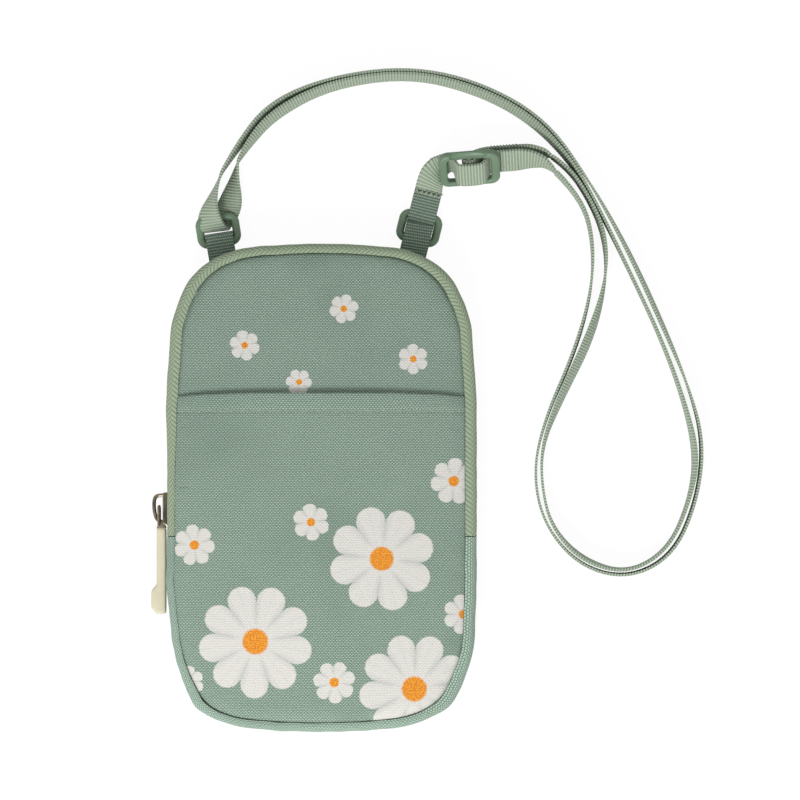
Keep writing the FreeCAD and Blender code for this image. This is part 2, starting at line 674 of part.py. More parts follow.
link_sweep.Spine = (link_path, [f"Edge{number}" for number in range(1, 6)])
keep(link, "pull_link")

grip = doc.addObject("PartDesign::Body", "pull_solid")
grip_side = new_sketch(grip, "pull_side")
grip_side.setExpression("AttachmentOffset.Base.z", middle)
half_grip = SIZES["pull_thick"] / 2
grip_foot = -SIZES["pull_top"] - SIZES["pull_length"]
swell_y = grip_foot + SIZES["pull_swell"]
foot_words = "-Sizes.pull_top - Sizes.pull_length"
swell_words = f"{foot_words} + Sizes.pull_swell"
inner_words = f"{link_x} + Sizes.pull_thick / 2"
outer_words = f"{link_x} - Sizes.pull_thick / 2"
bulge_words = f"{outer_words} - Sizes.swell_out"
bulge_x = bar_x - half_grip - SIZES["swell_out"]
chain(grip_side, [
    (inner_words, bar_x + half_grip, "-Sizes.pull_top", -SIZES["pull_top"]),
    (outer_words, bar_x - half_grip, "-Sizes.pull_top", -SIZES["pull_top"]),
    (outer_words, bar_x - half_grip, swell_words, swell_y),
    (bulge_words, bulge_x, f"{swell_words} - Sizes.swell_slope", swell_y - SIZES["swell_slope"]),
    (bulge_words, bulge_x, f"{foot_words} + Sizes.swell_slope", grip_foot + SIZES["swell_slope"]),
    (outer_words, bar_x - half_grip, foot_words, grip_foot),
    (inner_words, bar_x + half_grip, foot_words, grip_foot),
])
grip_pad = grip.newObject("PartDesign::Pad", "pull_pad")
grip_pad.Profile = grip_side
grip_pad.setExpression("Length", "Sizes.pull_width")
grip_pad.Midplane = True
doc.recompute()
grip_soft = grip.newObject("PartDesign::Fillet", "pull_soft")
grip_soft.Base = (grip_pad, [])
grip_soft.UseAllEdges = True
grip_soft.setExpression("Radius", "Sizes.pull_round")
pull_tab = doc.addObject("Part::Cut", "pull_tab")
pull_tab.Base = grip
pull_tab.Tool = link
keep(pull_tab, "pull_tab")

# Rings: a round bar bent to a rounded rectangle; the lower bar lies on the local cross axis.
corner_y = half_height - SIZES["edge_bow"]
corner_x = half_width - SIZES["corner_radius"]
corner_y += math.sqrt((SIZES["edge_bow"] - SIZES["corner_radius"]) ** 2 - corner_x ** 2)


def lean_frame(side):
    """Tab root on the outline, outward direction and turn for the ring on one side."""
    name = "left" if side < 0 else "right"
    offset = SIZES[name + "_offset"]
    lean = math.radians(SIZES[name + "_lean"])
    root_y = corner_y + math.sqrt(SIZES["corner_radius"] ** 2 - (offset - corner_x) ** 2)
    out = Vec(side * math.sin(lean), math.cos(lean), 0)
    return Vec(side * offset, root_y, SIZES["ring_level"]), out, -side * SIZES[name + "_lean"]


def ring(node, side):
    root, out, turn = lean_frame(side)
    body = doc.addObject("PartDesign::Body", node)
    path = new_sketch(body, node + "_path")
    wide = (SIZES["ring_length"] - SIZES["ring_bar"]) / 2
    high = SIZES["ring_height"] - SIZES["ring_bar"]
    bend = SIZES["ring_bend"]
    quarter = math.pi / 2
    for piece in (
            Part.LineSegment(Vec(0, 0, 0), Vec(wide - bend, 0, 0)),
            round_arc(wide - bend, bend, bend, -quarter, 0),
            Part.LineSegment(Vec(wide, bend, 0), Vec(wide, high - bend, 0)),
            round_arc(wide - bend, high - bend, bend, 0, quarter),
            Part.LineSegment(Vec(wide - bend, high, 0), Vec(bend - wide, high, 0)),
            round_arc(bend - wide, high - bend, bend, quarter, 2 * quarter),
            Part.LineSegment(Vec(-wide, high - bend, 0), Vec(-wide, bend, 0)),
            round_arc(bend - wide, bend, bend, 2 * quarter, 3 * quarter),
            Part.LineSegment(Vec(bend - wide, 0, 0), Vec(0, 0, 0))):
        path.addGeometry(piece, False)
    for index in range(8):
        rule(path, "Tangent", index, 2, index + 1, 1)
    rule(path, "Coincident", 0, 1, -1, 1)
    rule(path, "Coincident", 8, 2, -1, 1)
    for index, kind in ((0, "Horizontal"), (2, "Vertical"), (4, "Horizontal"), (6, "Vertical"), (8, "Horizontal")):
        rule(path, kind, index)
    for index in (1, 3, 5, 7):
        bind(path, f"bend{index}", "Sizes.ring_bend", "Radius", index, bend)
    wide_words = "(Sizes.ring_length - Sizes.ring_bar) / 2"
    bind(path, "right_bar", wide_words, "DistanceX", -1, 1, 2, 1, wide)
    bind(path, "left_bar", f"-{wide_words}", "DistanceX", -1, 1, 6, 1, -wide)
    bind(path, "upper_bar", "Sizes.ring_height - Sizes.ring_bar", "DistanceY", -1, 1, 4, 1, high)
    section = new_sketch(body, node + "_section", "YZ_Plane")
    section.addGeometry(Part.Circle(Vec(0, 0, 0), Vec(0, 0, 1), SIZES["ring_bar"] / 2), False)
    rule(section, "Coincident", 0, 3, -1, 1)
    bind(section, "bar_radius", "Sizes.ring_bar / 2", "Radius", 0, SIZES["ring_bar"] / 2)
    sweep = body.newObject("PartDesign::AdditivePipe", node + "_sweep")
    sweep.Profile = section
    sweep.Spine = (path, [f"Edge{number}" for number in range(1, 10)])
    body.Placement = Place(root + out * SIZES["tab_reach"], Turn(Vec(0, 0, 1), turn))
    body.setExpression("Placement.Base.z", "Sizes.ring_level")
    return keep(body, node)


ring("left_ring", -1)
ring("right_ring", 1)


# Webbing: flat strips bent in one plane, given by their run in that plane and spread by their width.
def strip_edges(points, radii, shift):
    """One side of a strip: straight runs joined by tangent arcs, moved sideways by shift."""
    edges = []
    last = None
    count = len(points)
    for index in range(count):
        here = Vec(*points[index], 0)
        if index in (0, count - 1):
            other = Vec(*points[1 if index == 0 else count - 2], 0)
            run = (other - here if index == 0 else here - other).normalize()
            spot = here + Vec(-run.y, run.x, 0) * shift
            if last:
                edges.append(Part.makeLine(last, spot))
            last = spot
            continue
        into = (here - Vec(*points[index - 1], 0)).normalize()
        away = (Vec(*points[index + 1], 0) - here).normalize()
        turn = math.atan2(into.x * away.y - into.y * away.x, into.dot(away))
        radius = radii[index - 1]
        cut = radius * math.tan(abs(turn) / 2)
        side = 1 if turn > 0 else -1
        left_in = Vec(-into.y, into.x, 0)
        left_away = Vec(-away.y, away.x, 0)
        hub = here - into * cut + left_in * (side * radius)
        start = here - into * cut + left_in * shift
        end = here + away * cut + left_away * shift
        half_way = (left_in + left_away).normalize()
        top = hub - half_way * (side * radius - shift)
        edges.append(Part.makeLine(last, start))
        edges.append(Part.Arc(start, top, end).toShape())
        last = end
    return edges


def strip_solid(points, radii, thick, low, high):
    """A strip of webbing as a solid, spread from low to high along the third direction."""
    left = strip_edges(points, radii, thick / 2)
    right = strip_edges(points, radii, -thick / 2)
    caps = []
    for index, end in ((0, "first"), (-1, "last")):
        pick = 0 if end == "first" else -1
        caps.append(Part.makeLine(left[index].Vertexes[pick].Point, right[index].Vertexes[pick].Point))
    outline = Part.Wire(Part.__sortEdges__(left + right + caps))
    wide = Part.Face(outline)
    wide.translate(Vec(0, 0, low))
    return wide.extrude(Vec(0, 0, high - low))


def natural_radii(points):
    """The arc at each corner takes most of the shorter run beside it."""
    radii = []
    for index in range(1, len(points) - 1):
        into = Vec(*points[index], 0) - Vec(*points[index - 1], 0)
        away = Vec(*points[index + 1], 0) - Vec(*points[index], 0)
        turn = max(into.getAngle(away), 0.02)
        radii.append(0.45 * min(into.Length, away.Length) / math.tan(turn / 2))
    return radii


def webbing(node, shape, place=None):
    strip = doc.addObject("Part::Feature", node)
    strip.Shape = shape
    if place:
        strip.Placement = place
    return strip


web = SIZES["web"]
half_web = SIZES["web_width"] / 2


def folded_solid(radius, length, end_half):
    """A strip folded round a bar: an arc on the far side and two legs that end close together."""
    span = math.hypot(radius, length)
    slope = math.acos(end_half / span) - math.atan2(length, radius)
    run = Vec(math.cos(slope), -math.sin(slope), 0)
    up = Vec(math.sin(slope), math.cos(slope), 0)

    def mirrored(point):
        return Vec(point.x, -point.y, 0)

    edges = []
    for side in (0.5, -0.5):
        reach = radius + side * web
        touch = up * reach
        tip = touch + run * length
        edges.append(Part.makeLine(tip, touch))
        edges.append(Part.Arc(touch, Vec(-reach, 0, 0), mirrored(touch)).toShape())
        edges.append(Part.makeLine(mirrored(touch), mirrored(tip)))
    outer_tip = up * (radius + web / 2) + run * length
    inner_tip = up * (radius - web / 2) + run * length
    edges.append(Part.makeLine(outer_tip, inner_tip))
    edges.append(Part.makeLine(mirrored(outer_tip), mirrored(inner_tip)))
    wide = Part.Face(Part.Wire(Part.__sortEdges__(edges)))
    wide.translate(Vec(0, 0, -half_web))
    return wide.extrude(Vec(0, 0, 2 * half_web))


def upright_frame(point, along):
    """Local x runs along, local y points up and local z lies across."""
    up = Vec(0, 0, 1)
    return Place(point, Turn(along, up, along.cross(up), "XYZ"))


loop_radius = SIZES["ring_bar"] / 2 + SIZES["loop_clearance"] + web / 2
close_half_gap = web / 2 + 0.1
outline_sketch = doc.addObject("Sketcher::SketchObject", "tab_trim_outline")
full_outline(outline_sketch, ("-Sizes.layer_gap", -SIZES["layer_gap"]))
trim = doc.addObject("Part::Extrusion", "tab_trim")
trim.Base = outline_sketch
trim.DirMode = "Custom"
trim.Dir = Vec(0, 0, 1)
trim.Solid = True
trim.setExpression("LengthFwd", "Sizes.band_depth")
for side, tab_name in ((-1, "left_tab"), (1, "right_tab")):
    root, out, turn = lean_frame(side)
    axis_point = root + out * SIZES["tab_reach"]
    fold = webbing(tab_name + "_fold", folded_solid(loop_radius, SIZES["tab_reach"] + 2.5, close_half_gap),
                   upright_frame(axis_point, out * -1))
    tab = doc.addObject("Part::Cut", tab_name)
    tab.Base = fold
    tab.Tool = trim
    keep(tab, tab_name)

bar_step = SIZES["ring_height"] - SIZES["ring_bar"]
left_root, left_out, left_turn = lean_frame(-1)
left_bar = left_root + left_out * (SIZES["tab_reach"] + bar_step)
right_root, right_out, right_turn = lean_frame(1)
right_bar = right_root + right_out * (SIZES["tab_reach"] + bar_step)
keep(webbing("strap_left_loop", folded_solid(loop_radius, SIZES["left_leg"], loop_radius),
             upright_frame(left_bar, left_out)), "strap_left_loop")
keep(webbing("strap_anchor_loop", folded_solid(loop_radius, SIZES["anchor_leg"], close_half_gap),
             upright_frame(right_bar, right_out)), "strap_anchor_loop")

# Adjuster: a window frame with a round bar across its middle, laid tilted beside the right ring.
glide = doc.addObject("PartDesign::Body", "glide_frame")


def rounded_sketch(owner, name, words, values, bend_words, bend):
    sketch = new_sketch(owner, name)
    wide = values[0] / 2
    high = values[1] / 2
    quarter = math.pi / 2
    corners = ((1, 1), (-1, 1), (-1, -1), (1, -1))
    for index, (sign_x, sign_y) in enumerate(corners):
        hub_x = sign_x * (wide - bend)
        hub_y = sign_y * (high - bend)
        sketch.addGeometry(round_arc(hub_x, hub_y, bend, index * quarter, (index + 1) * quarter), False)
    for index in range(4):
        start = sketch.getPoint(index, 2)
        end = sketch.getPoint((index + 1) % 4, 1)
        line = sketch.addGeometry(Part.LineSegment(start, end), False)
        rule(sketch, "Tangent", index, 2, line, 1)
        rule(sketch, "Tangent", line, 2, (index + 1) % 4, 1)
        bind(sketch, f"bend{index}", bend_words, "Radius", index, bend)
    rule(sketch, "Horizontal", 4)
    rule(sketch, "Vertical", 5)
    bind(sketch, "top", f"{words[1]} / 2", "DistanceY", -1, 1, 4, 1, high)
    bind(sketch, "left", f"-{words[0]} / 2", "DistanceX", -1, 1, 5, 1, -wide)
    bind(sketch, "lower", f"-{words[1]} / 2", "DistanceY", -1, 1, 6, 1, -high)
    bind(sketch, "right", f"{words[0]} / 2", "DistanceX", -1, 1, 7, 1, wide)
    return sketch


frame_outline = rounded_sketch(
    glide, "glide_outline", ("Sizes.glide_length", "Sizes.glide_width"),
    (SIZES["glide_length"], SIZES["glide_width"]), "Sizes.glide_corner", SIZES["glide_corner"])
frame_pad = glide.newObject("PartDesign::Pad", "glide_pad")
frame_pad.Profile = frame_outline
frame_pad.setExpression("Length", "Sizes.glide_thick")
frame_pad.Midplane = True
window_outline = rounded_sketch(
    glide, "glide_window_outline", ("Sizes.glide_window", "Sizes.glide_slot"),
    (SIZES["glide_window"], SIZES["glide_slot"]), "Sizes.glide_corner / 3", SIZES["glide_corner"] / 3)
window = glide.newObject("PartDesign::Pocket", "glide_window")
window.Profile = window_outline
window.Type = 1
window.Midplane = True
doc.recompute()
glide_soft = glide.newObject("PartDesign::Fillet", "glide_soft")
glide_soft.Base = (window, [])
glide_soft.UseAllEdges = True
glide_soft.setExpression("Radius", "Sizes.glide_round")
centre_bar = doc.addObject("Part::Cylinder", "glide_centre_bar")
centre_bar.setExpression("Radius", "Sizes.glide_bar / 2")
centre_bar.setExpression("Height", "Sizes.glide_slot + 1.2")
centre_bar.Placement = Place(Vec(0, 0, 0), Turn(Vec(1, 0, 0), -90))
centre_bar.setExpression("Placement.Base.y", "-Sizes.glide_slot / 2 - 0.6")
glide_spot = Vec(SIZES["glide_x"], SIZES["glide_y"] + route_lift, SIZES["glide_z"])
glide_turn = Turn(Vec(0, 0, 1), SIZES["glide_heading"]).multiply(Turn(Vec(1, 0, 0), SIZES["glide_tilt"]))
adjuster = joined("strap_adjuster", [glide, centre_bar])
adjuster.Placement = Place(glide_spot, glide_turn)
adjuster.setExpression("Placement.Base.x", "Sizes.glide_x")
adjuster.setExpression("Placement.Base.y", "Sizes.glide_y + Sizes.body_height / 2 - Sizes.route_top")
adjuster.setExpression("Placement.Base.z", "Sizes.glide_z")
keep(adjuster, "strap_adjuster")

# Strap in the adjuster: local x runs along the adjuster and local y out of its face.
glide_along = glide_turn.multVec(Vec(1, 0, 0))
glide_across = glide_turn.multVec(Vec(0, 1, 0))
glide_out = glide_turn.multVec(Vec(0, 0, 1))
strap_frame = Place(glide_spot, Turn(glide_along, glide_out, glide_across * -1, "XYZ"))
under = -SIZES["glide_thick"] / 2 - SIZES["thread_gap"] - web / 2
loop_run = SIZES["glide_bar"] / 2 + SIZES["loop_clearance"] + web / 2
over = loop_run + web + SIZES["joint_gap"]
thread_far = SIZES["glide_window"] / 2 - SIZES["thread_edge"]
thread_near = SIZES["thread_crest"]
thread_run = [(-SIZES["thread_left"], under), (-thread_far, under), (-thread_near, over), (thread_near, over),
              (thread_far, under), (SIZES["thread_right"], under)]
thread_bends = [SIZES["thread_bend"]] * 4
keep(webbing("strap_thread", strip_solid(thread_run, thread_bends, web, -half_web, half_web), strap_frame),
     "strap_thread")
first_leg = under - web - SIZES["lap_gap"]
second_leg = first_leg - web - SIZES["lap_gap"]
fall = Vec(thread_far - thread_near, under - over, 0).normalize()
rise = Vec(-fall.y, fall.x, 0)
leg_turn = fall.x / -fall.y


def on_leg(side, level):
    """Where a leg that falls beside the thread comes down to a level."""
    touch = rise * (side * loop_run)
    return (touch.x + (touch.y - level) * leg_turn, level)


def loop_corner(side):
    touch = rise * (side * loop_run) - fall * loop_run
    return (touch.x, touch.y)


leg_bend = SIZES["web"] + 0.1
loop_bend = loop_run - 0.01
end_run = [(SIZES["tail_end"], first_leg), on_leg(1, first_leg), loop_corner(1), loop_corner(-1),
           on_leg(-1, second_leg), (SIZES["tail_end"] - SIZES["joint_gap"] * 2 - SIZES["tail_lap"], second_leg)]
keep(webbing("strap_end_loop", strip_solid(end_run, [leg_bend, loop_bend, loop_bend, leg_bend], web,
                                           -half_web, half_web), strap_frame), "strap_end_loop")


def twisted(node, sections):
    """A strip that turns from lying to standing: each section has a point, a heading and a roll."""
    wires = []
    for point, heading, roll in sections:
        along = Vec(math.cos(math.radians(heading)), math.sin(math.radians(heading)), 0)
        left = Vec(-along.y, along.x, 0)
        up = Vec(0, 0, 1)
        angle = math.radians(roll)
        across = left * math.cos(angle) + up * math.sin(angle)
        through = up * math.cos(angle) - left * math.sin(angle)
        wide = across * half_web
        deep = through * (web / 2)
        corners = [point + wide + deep, point - wide + deep, point - wide - deep, point + wide - deep]
        wires.append(Part.makePolygon(corners + corners[:1]))
    return keep(webbing(node, Part.makeLoft(wires, True, True)), node)


def on_strap(along, out):
    return strap_frame.multVec(Vec(along, out, 0))


edge_z = SIZES["strap_level"] + half_web
heading = SIZES["glide_heading"]
tilt = SIZES["glide_tilt"]
anchor_tip = right_bar + right_out * (SIZES["anchor_leg"] + SIZES["joint_gap"] * 2)
lead_in = on_strap(-SIZES["thread_left"] - SIZES["joint_gap"], under)
right_heading = 90 - SIZES["right_lean"]
twisted("strap_lead", [
    (anchor_tip, right_heading, 0),
    (anchor_tip * 0.66 + lead_in * 0.34 + Vec(-0.6, 1.2, 0.2), right_heading - 24, 8),
    (anchor_tip * 0.33 + lead_in * 0.67 + Vec(-0.8, 1.3, 0.2), right_heading - 50, 26),
    (lead_in, heading, tilt),
])
thread_out = on_strap(SIZES["thread_right"] + SIZES["joint_gap"], under)
tail_out = on_strap(SIZES["tail_end"] - SIZES["tail_lap"], second_leg)
tail_far = on_strap(SIZES["tail_end"] + 1.5, second_leg)


def spot(x, y, z):
    """A point of the strap's lie, carried along with the pouch's top edge."""
    return Vec(x, y + route_lift, z)


def heading_of(start, end):
    return math.degrees(math.atan2(end[1] - start[1], end[0] - start[0]))


twisted("strap_out_lead", [
    (thread_out, heading, tilt),
    (spot(78.5, 121.8, 6), heading - 8, tilt + 13),
    (spot(83.5, 120.4, 5.6), heading - 30, tilt + 31),
    (spot(*OUTER_ROUTE[0], edge_z), heading_of(*OUTER_ROUTE[:2]), 90),
])
twisted("strap_back_lead", [
    (tail_out, heading, tilt),
    (tail_far, heading, tilt),
    (spot(79.5, 124.1, 4.9), heading - 3, tilt + 17),
    (spot(83.5, 123.9, 5.2), heading - 20, tilt + 33),
    (spot(*INNER_ROUTE[0], edge_z), heading_of(*INNER_ROUTE[:2]), 90),
])
leg_tip = left_bar + left_out * (SIZES["left_leg"] + SIZES["joint_gap"])
left_heading = 90 + SIZES["left_lean"]
twisted("strap_out_twist", [
    (leg_tip + Vec(0, 0, loop_radius), left_heading, 0),
    (spot(-39.6, 107.8, 5.6), 88, -28),
    (spot(-38.8, 112.3, 5.4), 76, -60),
    (spot(*OUTER_ROUTE[-1], edge_z), heading_of(OUTER_ROUTE[-1], OUTER_ROUTE[-2]), -90),
])
twisted("strap_back_twist", [
    (leg_tip - Vec(0, 0, loop_radius), left_heading, 0),
    (spot(-36.8, 108.6, 2.9), 68, -24),
    (spot(-33.9, 114.6, 5), 62, -62),
    (spot(*INNER_ROUTE[-1], edge_z), heading_of(INNER_ROUTE[-1], INNER_ROUTE[-2]), -90),
])


def strand(node, route):
    """A long strand that stands on its edge along the table."""
    ends = []
    for near, far in ((route[0], route[1]), (route[-1], route[-2])):
        step = Vec(far[0] - near[0], far[1] - near[1], 0).normalize() * SIZES["joint_gap"]
        ends.append((near[0] + step.x, near[1] + step.y))
    points = [(x, y + route_lift) for x, y in [ends[0]] + route[1:-1] + [ends[1]]]
    radii = natural_radii(points)
    low = SIZES["strap_level"]
    shape = strip_solid(points, radii, web, low, low + 2 * half_web)
    length = 0
    for edge in strip_edges(points, radii, 0):
        length += edge.Length
    print(node, "tightest bend", round(min(radii), 1), "length", round(length, 1),
          "volume over section", round(shape.Volume / (web * 2 * half_web), 1))
    keep(webbing(node, shape), node)


strand("strap_strand_out", OUTER_ROUTE)
strand("strap_strand_back", INNER_ROUTE)

doc.recompute()
faults = []
for item in doc.Objects:
    if "Invalid" in item.State or "Error" in item.State:
        faults.append((item.Name, item.getStatusString()))
for item in nodes:
    shape = item.Shape
    if shape.isNull() or not shape.isValid() or shape.Volume <= 0:
        faults.append((item.Label, "no valid solid"))
if faults:
    raise RuntimeError(str(faults))

os.makedirs("parts", exist_ok=True)
for item in nodes:
    item.Shape.exportStep(f"parts/{item.Label}.step")
    box_now = item.Shape.optimalBoundingBox()
    print(item.Label, round(item.Shape.Volume, 1), len(item.Shape.Solids),
          [round(v, 1) for v in (box_now.XMin, box_now.YMin, box_now.ZMin, box_now.XMax, box_now.YMax, box_now.ZMax)])
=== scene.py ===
import bpy
import bisect
import math
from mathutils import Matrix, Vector, noise


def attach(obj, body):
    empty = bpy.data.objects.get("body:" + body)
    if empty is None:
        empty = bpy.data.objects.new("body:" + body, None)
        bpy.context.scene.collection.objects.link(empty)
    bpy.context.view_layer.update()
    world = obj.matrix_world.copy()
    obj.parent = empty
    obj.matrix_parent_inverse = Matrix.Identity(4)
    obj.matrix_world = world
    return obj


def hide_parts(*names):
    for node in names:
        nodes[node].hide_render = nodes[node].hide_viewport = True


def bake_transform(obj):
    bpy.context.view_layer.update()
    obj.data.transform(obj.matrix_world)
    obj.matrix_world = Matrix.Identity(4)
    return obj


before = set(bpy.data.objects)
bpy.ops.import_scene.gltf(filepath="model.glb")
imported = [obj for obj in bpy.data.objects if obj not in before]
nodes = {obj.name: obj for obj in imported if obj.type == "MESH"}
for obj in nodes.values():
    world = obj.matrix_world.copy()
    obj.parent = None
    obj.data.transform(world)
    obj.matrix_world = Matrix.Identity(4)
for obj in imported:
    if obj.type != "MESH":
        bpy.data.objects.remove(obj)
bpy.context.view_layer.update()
print("frame loaded,", len(nodes), "solids")

# all sizes below are millimetres, as on the pattern sheet
pouch = {"halfWide": 57.5, "halfHigh": 90.0, "corner": 35.0, "bow": 260.0, "depth": 21.0, "roll": 2.4,
         "seam": 3.1, "crownTop": 23.3, "crownAcross": 600.0, "crownAlong": 1800.0, "flapLine": 0.4,
         "zipEnd": 17.8, "sideSeam": 0.75, "leftSeam": 0.3}
# how far sewing draws the sides in, and between which heights
sides = {"upper": 1.6, "left": 0.35, "zip": 0.5, "lowLeft": 2.4, "lowRight": 0.8, "cornerLeft": 2.0,
         "cornerRight": 2.5, "reach": 40, "zipMiddle": -3}
heights = {"lowStart": (30, 62), "lowEnd": (72, 86), "cornerStart": (66, 82), "cornerEnd": (81, 91),
           "upperStart": (28, 60), "upperEnd": (66, 84), "left": (60, 84), "zip": (12, 34),
           "seam": (2, 36)}

cornerX = pouch["halfWide"] - pouch["corner"]
bowY = pouch["halfHigh"] - pouch["bow"]
cornerY = bowY + math.sqrt((pouch["bow"] - pouch["corner"]) ** 2 - cornerX ** 2)
cornerLean = math.atan2(cornerY - bowY, cornerX)
cornerRun = pouch["corner"] * cornerLean
bowRun = pouch["bow"] * (math.pi - 2 * cornerLean)
halfRun = 2 * cornerY + 2 * cornerRun + bowRun


def metres(x, y, z):
    return Vector((x, y, z)) * 0.001


def clearSelection():
    if bpy.context.object and bpy.context.object.mode != "OBJECT":
        bpy.ops.object.mode_set(mode="OBJECT")
    bpy.ops.object.select_all(action="DESELECT")


def pick(piece):
    clearSelection()
    piece.select_set(True)
    bpy.context.view_layer.objects.active = piece


def applyModifier(piece, kind, **settings):
    pick(piece)
    modifier = piece.modifiers.new(kind.lower(), kind)
    for name, value in settings.items():
        setattr(modifier, name, value)
    bpy.ops.object.modifier_apply(modifier=modifier.name)


def editWhole(piece):
    pick(piece)
    bpy.ops.object.mode_set(mode="EDIT")
    bpy.ops.mesh.select_all(action="SELECT")


def leaveEdit():
    bpy.ops.object.mode_set(mode="OBJECT")


def dress(piece, *finishes):
    piece.data.materials.clear()
    for finish in finishes:
        piece.data.materials.append(finish)


def smooth(piece, angle=50):
    pick(piece)
    bpy.ops.object.shade_smooth_by_angle(angle=math.radians(angle))


def onArc(hub, radius, angle):
    out = Vector((math.cos(angle), math.sin(angle)))
    return Vector(hub) + out * radius, out


def rimPoint(run):
    # distance along the upper half of the outline, from the left side's middle over the top to the right
    if run <= cornerY:
        return Vector((-pouch["halfWide"], run)), Vector((-1.0, 0.0))
    run -= cornerY
    if run <= cornerRun:
        return onArc((-cornerX, cornerY), pouch["corner"], math.pi - run / pouch["corner"])
    run -= cornerRun
    if run <= bowRun:
        return onArc((0.0, bowY), pouch["bow"], math.pi - cornerLean - run / pouch["bow"])
    run -= bowRun
    if run <= cornerRun:
        return onArc((cornerX, cornerY), pouch["corner"], cornerLean - run / pouch["corner"])
    run -= cornerRun
    return Vector((pouch["halfWide"], cornerY - run)), Vector((1.0, 0.0))


def loopPoint(run):
    # the whole outline; its lower half is the upper half turned round
    run = run % (2 * halfRun)
    if run <= halfRun:
        return rimPoint(run)
    spot, out = rimPoint(run - halfRun)
    return -spot, -out


def ease(value, low, high):
    share = max(0.0, min(1.0, (value - low) / (high - low)))
    return share * share * (3 - 2 * share)


def between(value, start, end):
    return ease(value, *heights[start]) * (1 - ease(value, *heights[end]))


def drawIn(spot):
    # sewing draws the sides in, most of all at the zip's left end, and leaves the lower corners squarer
    toSide = min(1.0, abs(spot.x) / sides["reach"])
    low = between(-spot.y, "lowStart", "lowEnd")
    square = between(-spot.y, "cornerStart", "cornerEnd")
    inward = sides["upper"] * between(spot.y, "upperStart", "upperEnd")
    if spot.x < 0:
        inward += sides["left"] * (1 - ease(abs(spot.y), *heights["left"]))
        inward += sides["zip"] * (1 - ease(abs(spot.y - sides["zipMiddle"]), *heights["zip"]))
        inward += sides["lowLeft"] * low - sides["cornerLeft"] * square
    else:
        inward += sides["lowRight"] * low - sides["cornerRight"] * square
    return Vector((spot.x - inward * toSide * math.copysign(1, spot.x), spot.y))


def seamInset(inset, rim, out):
    # seams lie further in along the sides than across top and bottom, but not beside the zip's left end
    wider = pouch["sideSeam"]
    if rim.x < 0:
        high = ease(rim.y, *heights["seam"])
        wider = wider * high - pouch["leftSeam"] * (1 - high)
    return inset + max(0.0, inset - 2.0) * wider * abs(out.x)


def layCloth(name, along, across, place):
    # a grid laid into place; its map keeps the cloth's own millimetres, a hundred to the unit
    clearSelection()
    bpy.ops.mesh.primitive_grid_add(x_subdivisions=along, y_subdivisions=across, size=1, calc_uvs=True)
    cloth = bpy.context.object
    cloth.name = name
    cloth.data.name = name
    laid = []
    for vertex in cloth.data.vertices:
        spot, mapped = place(vertex.co.x + 0.5, vertex.co.y + 0.5)
        vertex.co = spot
        laid.append(mapped)
    layer = cloth.data.uv_layers.active
    for corner in cloth.data.loops:
        uv = laid[corner.vertex_index]
        layer.data[corner.index].uv = (uv[0] * 0.01, uv[1] * 0.01)
    return cloth


def closeUp(piece):
    editWhole(piece)
    bpy.ops.mesh.remove_doubles(threshold=0.00002)
    bpy.ops.mesh.normals_make_consistent(inside=False)
    leaveEdit()


def turnOver(piece):
    editWhole(piece)
    bpy.ops.mesh.flip_normals()
    leaveEdit()


def faceUp(piece, wanted):
    # turns a sheet over when most of its faces point away from the wanted direction
    if sum(face.normal.dot(wanted) * face.area for face in piece.data.polygons) < 0:
        turnOver(piece)


def thicken(piece, thick, inside=0, rim=0):
    applyModifier(piece, "SOLIDIFY", thickness=thick * 0.001, offset=-1.0, material_offset=inside,
                  material_offset_rim=rim, use_even_offset=True, use_quality_normals=True)


# materials
def setInputs(node, values):
    for name, value in values.items():
        node.inputs[name].default_value = value


def newFinish(name, color, roughness):
    finish = bpy.data.materials.new(name)
    finish.use_nodes = True
    shader = finish.node_tree.nodes["Principled BSDF"]
    setInputs(shader, {"Base Color": (*color, 1), "Roughness": roughness})
    finish.diffuse_color = (*color, 1)
    return finish, finish.node_tree, shader


def tint(color, factor):
    return tuple(channel * factor for channel in color)


def fill(tree, socket, value):
    if isinstance(value, (int, float)):
        socket.default_value = value
    elif isinstance(value, tuple):
        socket.default_value = (*value, 1)
    else:
        tree.links.new(value, socket)


def calc(tree, kind, *values):
    node = tree.nodes.new("ShaderNodeMath")
    node.operation = kind
    for socket, value in zip(node.inputs, values):
        fill(tree, socket, value)
    return node.outputs[0]


def plus(tree, first, second):
    return calc(tree, "ADD", first, second)


def minus(tree, first, second):
    return calc(tree, "SUBTRACT", first, second)


def times(tree, first, second):
    return calc(tree, "MULTIPLY", first, second)


def humps(tree, value):
    # a row of even humps, one for each half turn
    return calc(tree, "ABSOLUTE", calc(tree, "SINE", value))


def clothMap(tree):
    # the cloth's own map, back in millimetres
    source = tree.nodes.new("ShaderNodeTexCoord")
    scale = tree.nodes.new("ShaderNodeVectorMath")
    scale.operation = "SCALE"
    scale.inputs["Scale"].default_value = 100
    tree.links.new(source.outputs["UV"], scale.inputs[0])
    split = tree.nodes.new("ShaderNodeSeparateXYZ")
    tree.links.new(scale.outputs[0], split.inputs[0])
    return scale.outputs[0], split.outputs[0], split.outputs[1]


def solidMap(tree):
    return tree.nodes.new("ShaderNodeTexCoord").outputs["Object"]


def cloud(tree, vector, scale, detail=2.0):
    node = tree.nodes.new("ShaderNodeTexNoise")
    setInputs(node, {"Scale": scale, "Detail": detail})
    tree.links.new(vector, node.inputs["Vector"])
    return node.outputs["Fac"]


def blendColor(tree, share, first, second):
    node = tree.nodes.new("ShaderNodeMix")
    node.data_type = "RGBA"
    for index, value in ((0, share), (6, first), (7, second)):
        fill(tree, node.inputs[index], value)
    return node.outputs[2]


